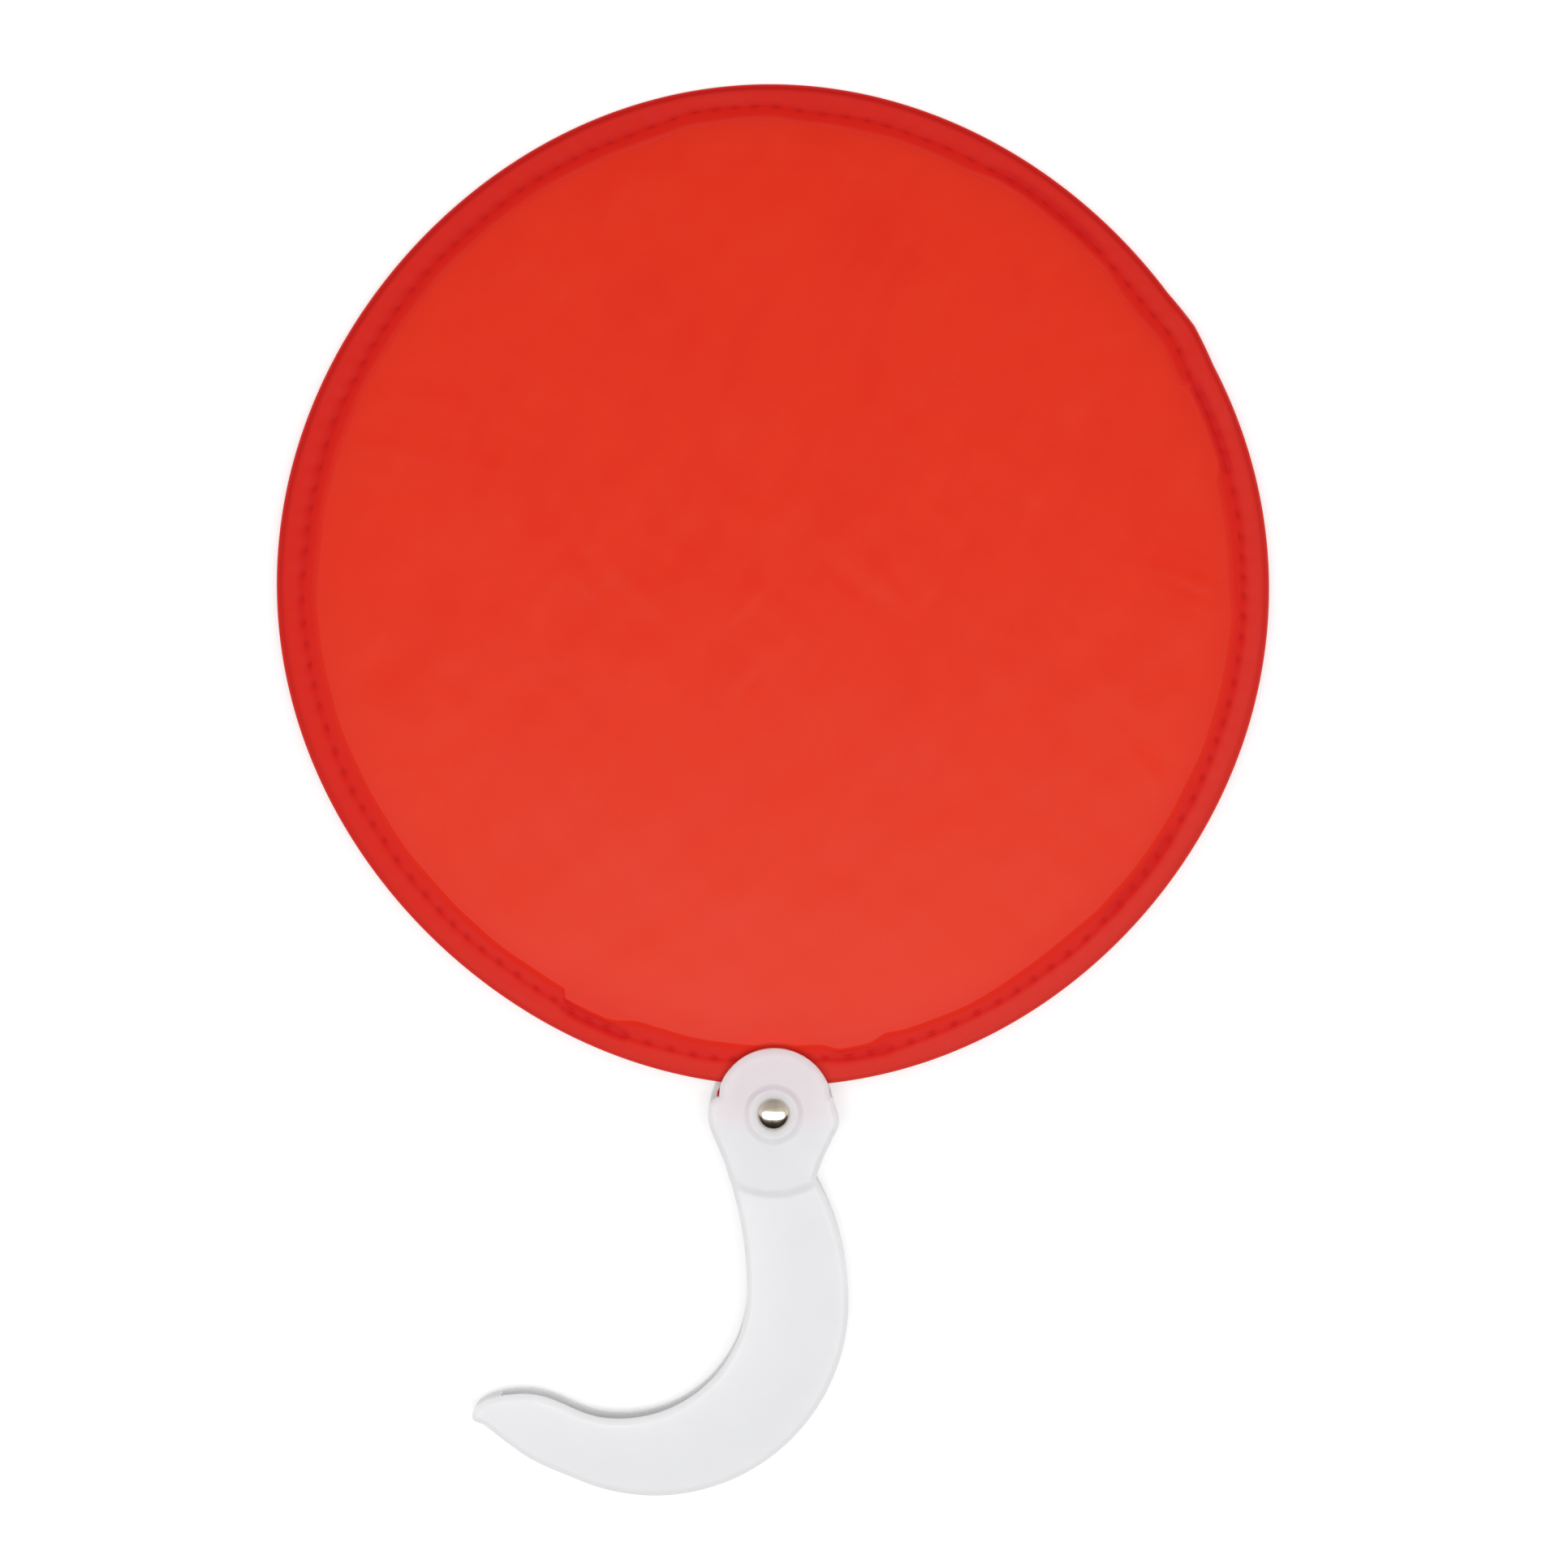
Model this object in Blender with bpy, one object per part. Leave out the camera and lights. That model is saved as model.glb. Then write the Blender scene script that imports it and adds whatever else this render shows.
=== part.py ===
"""A folding hand fan: a fabric disc on a sprung wire hoop, riveted to a hooked, slotted handle.

Metres, +Z up. The fan lies on its back with the handle's rear face on z = 0. The disc droops from
the rivet until the far edge of its hem rests on the same surface. +Y runs from the handle to the
disc, and angles round the disc run anticlockwise from +X, seen from above. Every piece is drawn
from the rivet's axis, and one empty sets the whole fan over the middle of its own outline.
"""
import math

import bmesh
import bpy
from mathutils import Vector

# Clearance between two pieces that touch
fit_gap = 0.0003

# Disc outline: a circle that the sprung hoop pulls slightly out of round
disc_radius = 0.12396
oval_height = 0.00082
oval_angle = -70.4
three_lobe_height = 0.00018
three_lobe_angle = -50.0
four_lobe_height = 0.0007
four_lobe_angle = 2.3
kink_height = 0.0008
kink_angle = 31.5
kink_spread = 5.0

# Hem, hoop and panel
hem_width = 0.0097
tape_thickness = 0.00035
wire_radius = 0.0007
panel_thickness = 0.0003
sleeve_length = 0.0165
sleeve_wall = 0.0003
sleeve_taper = 0.008
wire_end_gap = 0.0008

# Tab that hangs the disc on the rivet
tab_leaf = 0.00035
tab_cover = 0.007
tab_shoulder = 0.014
tab_shoulder_drop = 0.0035
tab_top_width = 0.014
tab_end_radius = 0.0068
tab_tongue = 0.0009
tab_slack = 0.0004

# Handle shells
plate_thickness = 0.0016
slot_depth = 0.005
wall_thickness = 0.002
edge_round = 0.0012
lip_height = 0.001
lip_thickness = 0.0008

# Handle outline, from the rivet's axis
hook_radius = 0.048
hook_side = 0.0186
hook_drop = 0.0466
bay_radius = 0.0318
bay_side = -0.0065
bay_drop = 0.0439
stem_outer_radius = 0.0624
stem_inner_radius = 0.0914
neck_drop = 0.0159
tip_angle = math.radians(-148.3)
tip_reach = 0.0053
hump_angle = math.radians(-144.7)
hump_inset = 0.0083
tip_solid = 0.007
underside_angle = math.radians(-112.3)
bay_end_angle = math.radians(-96)

# How the handle's tip is rounded: pulls of its curves, as lengths or as shares of their spans
hump_pull = 0.38
tip_pull_along = 0.75
tip_pull_down = 0.37
nose_pull = 0.0023
heel_right = 0.0033
heel_drop = 0.0027
heel_angle = math.radians(-38)
heel_pull = 0.015
underside_pull = 0.014

# Head cheeks, seen from the front
front_cheek_radius = 0.0144
front_cheek_right = 0.0002
front_cheek_rise = 0.0019
rear_cheek_extra = 0.00125
rear_cheek_right = -0.0005
shoulder_right = 0.0163
shoulder_drop = 0.0022
shoulder_top_angle = math.radians(10)
shoulder_pull = 0.0014
cheek_corner_angle = math.radians(-8)
cheek_pull = 0.0025
neck_pull_out = 0.0019
neck_pull_up = 0.007
notch_angle = math.radians(22)
notch_left = 0.01335
notch_right = 0.0139
notch_rise = 0.0043
notch_pull = 0.001
flank_angle = math.radians(6)
pad_rise = 0.0008
pad_radius = 0.0194

# Rivet, its seats and its washer
shank_radius = 0.002
head_radius = 0.0039
head_rim = 0.00025
dome_height = 0.0011
recess_radius = 0.0077
recess_depth = 0.0005
dish_radius = 0.0054
dish_depth = 0.0008
boss_radius = 0.0052
clinch_radius = 0.0031
clinch_thickness = 0.00055
clinch_standoff = 0.00025
pit_radius = 0.0012
pit_depth = 0.0025
washer_thickness = 0.0005
washer_rim = 0.0013

# Fineness of the round shapes
hoop_stations = 120
wire_sides = 8
bead_steps = 5
casing_steps = 3
leaf_steps = 6
sleeve_steps = 6
tab_steps = 10
turn_steps = 32
dome_steps = 6
arc_step = math.radians(6)
bend_steps = 7
heel_steps = 3
round_steps = 3
panel_rings = (1.0, 0.72, 0.38)
smooth_angle = math.radians(32)
weld_distance = 0.000001

# Sizes that follow from those above
handle_depth = 2 * plate_thickness + slot_depth
mid_height = handle_depth / 2
front_inner = plate_thickness + slot_depth
pad_height = handle_depth + pad_rise
casing_radius = wire_radius + fit_gap
bead_radius = casing_radius + tape_thickness
sleeve_radius = wire_radius + fit_gap + sleeve_wall
sleeve_bead_radius = sleeve_radius + fit_gap + tape_thickness
flat_inner = panel_thickness / 2 + fit_gap
flat_outer = flat_inner + tape_thickness
leaf_inner = flat_outer + fit_gap
leaf_outer = leaf_inner + tab_leaf
hem_to_rivet = boss_radius + fit_gap + tab_leaf + fit_gap + tab_slack
neck_taper = neck_drop / 3
past_head = 3 * front_cheek_radius
bore_radius = shank_radius + fit_gap
washer_radius = bore_radius + washer_rim
counterbore_radius = max(washer_radius, clinch_radius) + fit_gap
washer_low = clinch_standoff + clinch_thickness + fit_gap
counterbore_floor = washer_low + washer_thickness + fit_gap
dish_floor = pad_height - recess_depth - dish_depth
boss_clear = tab_tongue / 2 + fit_gap
hook_center = Vector((hook_side - hook_radius, -hook_drop))
bay_center = Vector((bay_side - bay_radius, -bay_drop))
front_cheek_center = Vector((front_cheek_right, front_cheek_rise))
rear_cheek_radius = front_cheek_radius + rear_cheek_extra
rear_cheek_center = Vector((rear_cheek_right, 0.0))
rivet_axis = Vector((0.0, 0.0))

# Colours as they look on the fan, in linear light
fabric_red = (0.79, 0.038, 0.018)
tape_red = (0.66, 0.024, 0.022)
tab_red = (0.60, 0.018, 0.016)
shell_white = (0.80, 0.79, 0.80)
rivet_silver = (0.72, 0.70, 0.66)
washer_grey = (0.55, 0.55, 0.56)
wire_grey = (0.42, 0.43, 0.45)
sleeve_grey = (0.35, 0.35, 0.37)


# Plane curves, as lists of points with x and y

def arc(center, radius, start, end):
    """Points on a circle from one angle to another, both ends included."""
    steps = max(2, math.ceil(abs(end - start) / arc_step))
    angles = [start + (end - start) * i / steps for i in range(steps + 1)]
    return [Vector((center.x + radius * math.cos(a), center.y + radius * math.sin(a))) for a in angles]


def bend(start, pull_start, pull_end, end, steps):
    """Points on a cubic curve between two ends, shaped by two pulls, without its first point."""
    points = []
    for i in range(1, steps + 1):
        t = i / steps
        s = 1 - t
        points.append(start * s ** 3 + pull_start * 3 * s * s * t + pull_end * 3 * s * t * t + end * t ** 3)
    return points


def polar(angle):
    """The unit vector at an angle."""
    return Vector((math.cos(angle), math.sin(angle)))


# Outline of the disc

def wrapped(degrees):
    """An angle brought between -180 and 180 degrees."""
    return (degrees + 180) % 360 - 180


def hem_edge(degrees):
    """Outer radius of the hem at an angle round the disc: a circle with two, three and four low
    lobes, and a corner where the hoop's wire leaves its sleeve."""
    oval = oval_height * math.cos(math.radians(2 * (degrees - oval_angle)))
    three = three_lobe_height * math.cos(math.radians(3 * (degrees - three_lobe_angle)))
    four = four_lobe_height * math.cos(math.radians(4 * (degrees - four_lobe_angle)))
    corner = kink_height * max(0, 1 - abs(wrapped(degrees - kink_angle)) / kink_spread)
    return disc_radius + oval + three + four + corner


sleeve_half_angle = math.degrees(sleeve_length / 2 / disc_radius)
sleeve_angle = kink_angle - sleeve_half_angle
disc_rise = hem_to_rivet + hem_edge(-90)


def bead_at(degrees):
    """Outer radius of the round bead along the hem's edge: it swells over the wire's sleeve."""
    full = math.degrees(fit_gap / disc_radius) + sleeve_half_angle + 360 / hoop_stations / 2
    beyond = (abs(wrapped(degrees - sleeve_angle)) - full) / math.degrees(sleeve_taper / disc_radius)
    share = min(1, max(0, beyond))
    share = share * share * (3 - 2 * share)
    return sleeve_bead_radius + (bead_radius - sleeve_bead_radius) * share


def slot_start(degrees):
    """How far inside the hem's edge its two tapes come together behind the bead."""
    bead = bead_at(degrees)
    return bead + math.sqrt((bead - tape_thickness) ** 2 - flat_inner ** 2)


def on_disc(degrees, inward, height):
    """A point at a distance inside the hem's edge, and at a height over the disc's middle plane."""
    radius = hem_edge(degrees) - inward
    angle = math.radians(degrees)
    return Vector((radius * math.cos(angle), disc_rise + radius * math.sin(angle), height))


def droop_angle():
    """The tilt that brings the far edge of the hem down to the surface under the handle."""
    far_wire = disc_rise + hem_edge(90) - bead_radius
    return math.asin((mid_height - bead_radius) / far_wire)


# Sections across the hem, as lists of distance inside the edge and height

def bead_points(center, radius, height, steps):
    """The part of a circle round the bead's centre that lies outside a flat at plus and minus a
    height, from the upper flat round the outside to the lower one."""
    low = math.asin(height / radius)
    corner = (low + math.pi / 2) / 2
    round_side = [math.pi / 2 + math.pi * i / steps for i in range(steps + 1)]
    angles = [low, corner] + round_side + [2 * math.pi - corner, 2 * math.pi - low]
    return [(center + radius * math.cos(a), radius * math.sin(a)) for a in angles]


def tape_section(degrees):
    """The folded tape: a flat pair of layers that opens round the wire."""
    bead = bead_at(degrees)
    outside = bead_points(bead, bead, flat_outer, bead_steps)
    inside = bead_points(bead, bead - tape_thickness, flat_inner, casing_steps)
    return ([(hem_width, flat_outer)] + outside + [(hem_width, -flat_outer), (hem_width, -flat_inner)]
            + inside[::-1] + [(hem_width, flat_inner)])


def tab_section():
    """The tab: two leaves that wrap the hem and join in one tongue outside it."""
    leaf_bore = bead_radius + fit_gap
    leaf_radius = leaf_bore + tab_leaf
    outside = bead_points(bead_radius, leaf_radius, leaf_outer, leaf_steps)
    half = tab_tongue / 2
    over_bead = outside[:2 + leaf_steps // 2]
    upper = over_bead + [(bead_radius - math.sqrt(leaf_radius ** 2 - half ** 2), half)]
    tongue_end = -(hem_to_rivet + tab_end_radius + fit_gap)
    lower = [(p[0], -p[1]) for p in upper[::-1]]
    inside = bead_points(bead_radius, leaf_bore, leaf_inner, leaf_steps)
    return ([(tab_cover, leaf_outer)] + upper + [(tongue_end, half), (tongue_end, -half)] + lower
            + [(tab_cover, -leaf_outer), (tab_cover, -leaf_inner)] + inside[::-1] + [(tab_cover, leaf_inner)])


# Outlines of the handle

def stem_outer_center():
    """Centre of the stem's outer side, which runs on smoothly from the hook's widest point."""
    return Vector((hook_side - stem_outer_radius, -hook_drop))


def stem_inner_center():
    """Centre of the stem's inner side, which runs on smoothly from the bay's widest point."""
    return Vector((bay_side - stem_inner_radius, -bay_drop))


def tip_point():
    """The handle's tip, a little outside the hook's circle."""
    return hook_center + polar(tip_angle) * (hook_radius + tip_reach)


def hump_point():
    """The crest of the handle's inner side behind the tip, inside the hook's circle."""
    return hook_center + polar(hump_angle) * (hook_radius - hump_inset)


def rise_angle(center, radius, y):
    """The angle at which the right side of a circle crosses a height."""
    return math.asin((y - center.y) / radius)


def outer_side():
    """The handle's outer side, from the heel under its tip round to the neck."""
    heel = tip_point() + Vector((heel_right, -heel_drop))
    low = hook_center + polar(underside_angle) * hook_radius
    along_low = Vector((math.sin(underside_angle), -math.cos(underside_angle)))
    stem_out = stem_outer_center()
    points = [heel] + bend(heel, heel + polar(heel_angle) * heel_pull, low + along_low * underside_pull, low,
                           bend_steps)
    points += arc(hook_center, hook_radius, underside_angle, 0)[1:]
    points += arc(stem_out, stem_outer_radius, 0, rise_angle(stem_out, stem_outer_radius, -neck_drop))[1:]
    return points


def grip_side():
    """The handle's inner side from the neck to the tip, and its outer side back to the neck."""
    stem_in = stem_inner_center()
    points = arc(stem_in, stem_inner_radius, rise_angle(stem_in, stem_inner_radius, -neck_drop), 0)
    points += arc(bay_center, bay_radius, 0, bay_end_angle)[1:]
    bay_end = points[-1]
    along_bay = Vector((math.sin(bay_end_angle), -math.cos(bay_end_angle)))
    hump = hump_point()
    tip = tip_point()
    swing = (bay_end.x - hump.x) * hump_pull
    points += bend(bay_end, bay_end + along_bay * swing, hump + Vector((swing, 0)), hump, bend_steps)
    along_tip = Vector(((tip.x - hump.x) * tip_pull_along, 0))
    up_tip = Vector((0, (hump.y - tip.y) * tip_pull_down))
    points += bend(hump, hump + along_tip, tip + up_tip, tip, bend_steps)
    outer = outer_side()
    along_heel = polar(heel_angle)
    points += bend(tip, tip - Vector((0, nose_pull)), outer[0] - along_heel * nose_pull, outer[0], heel_steps)
    return points + outer[1:]


def cheek_side(center, radius, corner, side):
    """One side of a head cheek, from its circle down to a corner, without its first point."""
    out = polar(cheek_corner_angle)
    start = center + Vector((side * radius * out.x, radius * out.y))
    along = Vector((side * out.y, -out.x))
    return bend(start, start + along * cheek_pull, corner + Vector((side * neck_pull_out, neck_pull_up)),
                corner, bend_steps)


def cheek_circle(center, radius, start):
    """The round top of a head cheek, anticlockwise from an angle to its left corner."""
    return arc(center, radius, start, math.pi - cheek_corner_angle)


def shoulder_side(corner, top):
    """The rear cheek's right side, from its neck corner over the shoulder, without its two ends."""
    shoulder = Vector((shoulder_right, -shoulder_drop))
    along_top = polar(shoulder_top_angle + math.pi / 2)
    up = Vector((0, shoulder_pull))
    lower = bend(corner, corner + Vector((neck_pull_out, neck_pull_up)), shoulder - up, shoulder, bend_steps)
    upper = bend(shoulder, shoulder + up, top - along_top * shoulder_pull, top, heel_steps)
    return lower + upper[:-1]


def rear_outline():
    """The rear shell: its wide cheek and the grip."""
    grip = grip_side()
    circle = cheek_circle(rear_cheek_center, rear_cheek_radius, shoulder_top_angle)
    left = cheek_side(rear_cheek_center, rear_cheek_radius, grip[0], -1)
    return circle + left + grip[1:] + shoulder_side(grip[-1], circle[0])


def notch_side(notch_x, flank):
    """From a notch beside the front cheek's round top out to the flank below it, both ends included."""
    notch = Vector((notch_x, notch_rise))
    out = Vector((math.copysign(notch_pull, notch_x), 0))
    return [notch] + bend(notch, notch + out, flank + Vector((0, notch_pull)), flank, heel_steps)


def head_outline():
    """The front shell's raised head: a round top over the hem, a notch at each side of it, flanks that
    match the rear cheek's, and an arc about the rivet below."""
    grip = grip_side()
    left_x = grip[0].x + edge_round / 2
    right_x = grip[-1].x - edge_round / 2
    left_angle = -math.pi + math.acos(-left_x / pad_radius)
    right_angle = -math.acos(right_x / pad_radius)
    bottom = arc(rivet_axis, pad_radius, left_angle, right_angle)
    round_top = arc(front_cheek_center, front_cheek_radius, notch_angle, math.pi - notch_angle)
    flank = arc(rear_cheek_center, rear_cheek_radius, math.pi - flank_angle, math.pi - cheek_corner_angle)
    left = notch_side(-notch_left, flank[0]) + flank[1:]
    left += cheek_side(rear_cheek_center, rear_cheek_radius, bottom[0], -1)
    top = rear_cheek_center + polar(shoulder_top_angle) * rear_cheek_radius
    right = shoulder_side(bottom[-1], top) + notch_side(notch_right, top)[::-1]
    return round_top + left + bottom[1:] + right


def front_grip_outline():
    """The front shell's grip, with a tapered end that runs up under the raised head."""
    grip = grip_side()
    end_right = Vector((grip[-1].x - neck_taper, neck_taper - neck_drop))
    end_left = Vector((grip[0].x + neck_taper, neck_taper - neck_drop))
    return grip + [end_right, end_left]


def moved_inside(points, inset):
    """A line moved to its left by an inset, each point square to the line through its neighbours."""
    ends = [points[0]] + points + [points[-1]]
    moved = []
    for before, here, after in zip(ends, points, ends[2:]):
        along = (after - before).normalized()
        moved.append(here + Vector((-along.y, along.x)) * inset)
    return moved


def wall_line(inset):
    """The outer wall's line at a depth inside the handle's outer side, from the neck to the tip's
    solid end."""
    line = moved_inside(outer_side(), inset)
    along = line[-1] - line[-2]
    line[-1] = line[-2] + along * ((-neck_drop - line[-2].y) / along.y)
    end = tip_point().x + tip_solid
    kept = [p for p in line if p.x > end]
    before = line[-len(kept) - 1]
    start = before + (kept[0] - before) * ((end - before.x) / (kept[0].x - before.x))
    return kept[::-1] + [start]


def inside_outline(inset):
    """All that lies on the open side of the wall's line, past the head and the bay."""
    line = wall_line(inset)
    around = [(line[-1].x, past_head), (past_head, past_head), (past_head, -neck_drop)]
    return line + [Vector(p) for p in around]


def outside_outline(inset):
    """All that lies on the other side of the wall's line, round the outside of the grip."""
    line = wall_line(inset)
    far_left = tip_point().x - tip_solid
    far_down = -hook_drop - hook_radius - tip_solid
    around = [(line[-1].x, -bay_drop), (far_left, -bay_drop), (far_left, far_down), (past_head, far_down),
              (past_head, -neck_drop)]
    return line + [Vector(p) for p in around]


def tab_outline():
    """The tab from the front: shoulders across the hem, drawn in to a round end about the rivet."""
    shoulder = Vector((tab_shoulder, tab_shoulder_drop))
    turn = math.atan2(shoulder.y, shoulder.x) - math.acos(tab_end_radius / shoulder.length)
    end = arc(rivet_axis, tab_end_radius, -math.pi - turn, turn)
    top = hem_to_rivet + tab_cover + tab_leaf
    right = [shoulder, Vector((tab_shoulder, hem_to_rivet)), Vector((tab_top_width / 2, top))]
    left = [Vector((-p.x, p.y)) for p in right[::-1]]
    return end + right + left


# Blender objects

def clear_scene():
    """Removes whatever the scene holds."""
    for obj in list(bpy.data.objects):
        bpy.data.objects.remove(obj, do_unlink=True)


def make_material(name, colour, roughness, metallic=0.0):
    """A Principled material in one colour."""
    material = bpy.data.materials.new(name)
    material.use_nodes = True
    shader = material.node_tree.nodes["Principled BSDF"]
    shader.inputs["Base Color"].default_value = (*colour, 1.0)
    shader.inputs["Roughness"].default_value = roughness
    shader.inputs["Metallic"].default_value = metallic
    return material


def make_empty(name, location, parent=None):
    """An empty that carries pieces."""
    empty = bpy.data.objects.new(name, None)
    bpy.context.scene.collection.objects.link(empty)
    empty.location = location
    empty.parent = parent
    return empty


def make_object(name, bm, parent, material=None):
    """An object from a closed mesh, with its faces out and its round sides smooth."""
    bmesh.ops.recalc_face_normals(bm, faces=bm.faces)
    mesh = bpy.data.meshes.new(name)
    bm.to_mesh(mesh)
    bm.free()
    mesh.shade_smooth()
    mesh.set_sharp_from_angle(angle=smooth_angle)
    if material:
        mesh.materials.append(material)
    obj = bpy.data.objects.new(name, mesh)
    bpy.context.scene.collection.objects.link(obj)
    obj.parent = parent
    return obj


def shape(obj, operation, cutter):
    """Cuts, joins or trims a piece with another body, which is then only a guide."""
    cutter.hide_render = True
    cutter.display_type = "WIRE"
    modifier = obj.modifiers.new(cutter.name, "BOOLEAN")
    modifier.operation = operation
    modifier.object = cutter
    modifier.solver = "EXACT"


def prism(outline, low, high, rounded=None):
    """An outline raised from one height to another. Its rim at the rounded height is rounded."""
    bm = bmesh.new()
    base = bm.faces.new([bm.verts.new((p.x, p.y, low)) for p in outline])
    raised = bmesh.ops.extrude_face_region(bm, geom=[base])["geom"]
    corners = [v for v in raised if isinstance(v, bmesh.types.BMVert)]
    bmesh.ops.translate(bm, vec=(0, 0, high - low), verts=corners)
    bm.normal_update()
    if rounded is not None:
        rim = [e for e in bm.edges if all(abs(v.co.z - rounded) < weld_distance for v in e.verts)]
        bmesh.ops.bevel(bm, geom=rim, offset=edge_round, offset_type="OFFSET", segments=round_steps,
                        profile=0.5, affect="EDGES", clamp_overlap=True)
    return bm


def turned(profile):
    """A profile of radius and height turned about the rivet's axis: a ring where it ends at its
    start, and otherwise a solid that closes on the axis."""
    bm = bmesh.new()
    points = [bm.verts.new((r, 0, z)) for r, z in profile]
    edges = [bm.edges.new(pair) for pair in zip(points, points[1:])]
    bmesh.ops.spin(bm, geom=points + edges, cent=(0, 0, 0), axis=(0, 0, 1), angle=2 * math.pi,
                   steps=turn_steps, use_merge=True)
    bmesh.ops.remove_doubles(bm, verts=bm.verts, dist=weld_distance)
    if profile[0] != profile[-1]:
        bmesh.ops.holes_fill(bm, edges=[e for e in bm.edges if e.is_boundary], sides=0)
    return bm


def loft(sections, closed=False):
    """Equal closed sections joined in order. The ends are capped unless the last meets the first."""
    bm = bmesh.new()
    rings = [[bm.verts.new(p) for p in section] for section in sections]
    pairs = list(zip(rings, rings[1:]))
    if closed:
        pairs.append((rings[-1], rings[0]))
    else:
        bm.faces.new(rings[0])
        bm.faces.new(rings[-1])
    count = len(rings[0])
    for ring, after in pairs:
        for i in range(count):
            j = (i + 1) % count
            bm.faces.new((ring[i], ring[j], after[j], after[i]))
    return bm


def ring_angles():
    """The angles of the sections round the disc, one of them on the hoop's corner."""
    return [kink_angle + 360 * i / hoop_stations for i in range(hoop_stations)]


def round_section(degrees, radius):
    """A circle round the wire's centre line, square to the hem's edge."""
    center = bead_at(degrees)
    turns = [2 * math.pi * i / wire_sides for i in range(wire_sides)]
    return [on_disc(degrees, center + radius * math.cos(t), radius * math.sin(t)) for t in turns]


# Pieces of the disc

def make_binding(parent):
    """The folded tape round the whole disc, swollen where it covers the wire's sleeve."""
    sections = [[on_disc(a, u, z) for u, z in tape_section(a)] for a in ring_angles()]
    material = make_material("tape", tape_red, 0.6)
    return make_object("hem_binding", loft(sections, closed=True), parent, material)


def make_wire(parent):
    """The spring-steel hoop, whose two ends nearly meet inside the sleeve."""
    start = sleeve_angle + math.degrees(wire_end_gap / 2 / disc_radius)
    span = 360 - math.degrees(wire_end_gap / disc_radius)
    angles = [start + span * i / hoop_stations for i in range(hoop_stations + 1)]
    sections = [round_section(a, wire_radius) for a in angles]
    material = make_material("spring_steel", wire_grey, 0.35, 1.0)
    return make_object("hoop_wire", loft(sections), parent, material)


def make_sleeve(parent):
    """The crimped sleeve that joins the hoop's two ends."""
    start = sleeve_angle - sleeve_half_angle
    angles = [start + 2 * sleeve_half_angle * i / sleeve_steps for i in range(sleeve_steps + 1)]
    outer = [round_section(a, sleeve_radius) for a in angles]
    inner = [round_section(a, casing_radius) for a in angles]
    around = outer + inner[::-1]
    material = make_material("sleeve_steel", sleeve_grey, 0.45, 1.0)
    return make_object("hoop_sleeve", loft(around, closed=True), parent, material)


def make_panel(parent):
    """The thin round panel, whose edge lies between the two layers of tape."""
    bm = bmesh.new()
    half = panel_thickness / 2
    hub = Vector((0, disc_rise, 0))
    layers = []
    for height in (half, -half):
        rings = []
        for share in panel_rings:
            rim = [on_disc(a, slot_start(a) + fit_gap, 0) for a in ring_angles()]
            rings.append([bm.verts.new(hub + (p - hub) * share + Vector((0, 0, height))) for p in rim])
        rings.append([bm.verts.new(hub + Vector((0, 0, height)))] * hoop_stations)
        layers.append(rings)
    for rings in layers:
        for outer, inner in zip(rings, rings[1:]):
            for i in range(hoop_stations):
                j = (i + 1) % hoop_stations
                corners = [outer[i], outer[j], inner[j], inner[i]]
                bm.faces.new(list(dict.fromkeys(corners)))
    top, bottom = layers[0][0], layers[1][0]
    for i in range(hoop_stations):
        j = (i + 1) % hoop_stations
        bm.faces.new((top[i], bottom[i], bottom[j], top[j]))
    return make_object("fabric_panel", bm, parent, make_material("fabric", fabric_red, 0.55))


def make_tab(parent):
    """The fabric tab: leaves over both faces of the hem, and a tongue with a hole for the rivet."""
    half_angle = math.degrees((tab_shoulder + tab_cover / 2) / disc_radius)
    angles = [-90 - half_angle + 2 * half_angle * i / tab_steps for i in range(tab_steps + 1)]
    sections = [[on_disc(a, u, z) for u, z in tab_section()] for a in angles]
    tab = make_object("hem_tab", loft(sections), parent, make_material("tab", tab_red, 0.65))
    reach = 2 * leaf_outer
    shape(tab, "INTERSECT", make_object("tab_outline_guide", prism(tab_outline(), -reach, reach), parent))
    bore = turned([(0, -reach), (bore_radius, -reach), (bore_radius, reach), (0, reach)])
    shape(tab, "DIFFERENCE", make_object("tab_hole_guide", bore, parent))
    return tab


# Pieces of the handle

def make_rear_shell(parent):
    """The rear half: a flat plate, the outer wall up to the seam with its lip, and a rivet boss."""
    seam = mid_height - fit_gap / 2
    lip_top = mid_height + lip_height
    material = make_material("rear_plastic", shell_white, 0.42)
    shell = make_object("handle_rear_shell", prism(rear_outline(), 0, lip_top, rounded=0), parent, material)
    above = 2 * handle_depth
    channel = prism(inside_outline(wall_thickness), plate_thickness, above)
    shape(shell, "DIFFERENCE", make_object("rear_channel_guide", channel, parent))
    trim = prism(outside_outline(wall_thickness - lip_thickness), seam, above)
    shape(shell, "DIFFERENCE", make_object("rear_seam_guide", trim, parent))
    boss_low = plate_thickness / 2
    boss_high = mid_height - boss_clear
    boss = turned([(0, boss_low), (boss_radius, boss_low), (boss_radius, boss_high), (0, boss_high)])
    shape(shell, "UNION", make_object("rear_boss_guide", boss, parent))
    below = -plate_thickness
    bore = turned([(0, below), (counterbore_radius, below), (counterbore_radius, counterbore_floor),
                   (bore_radius, counterbore_floor), (bore_radius, mid_height), (0, mid_height)])
    shape(shell, "DIFFERENCE", make_object("rear_bore_guide", bore, parent))
    return shell


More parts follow.
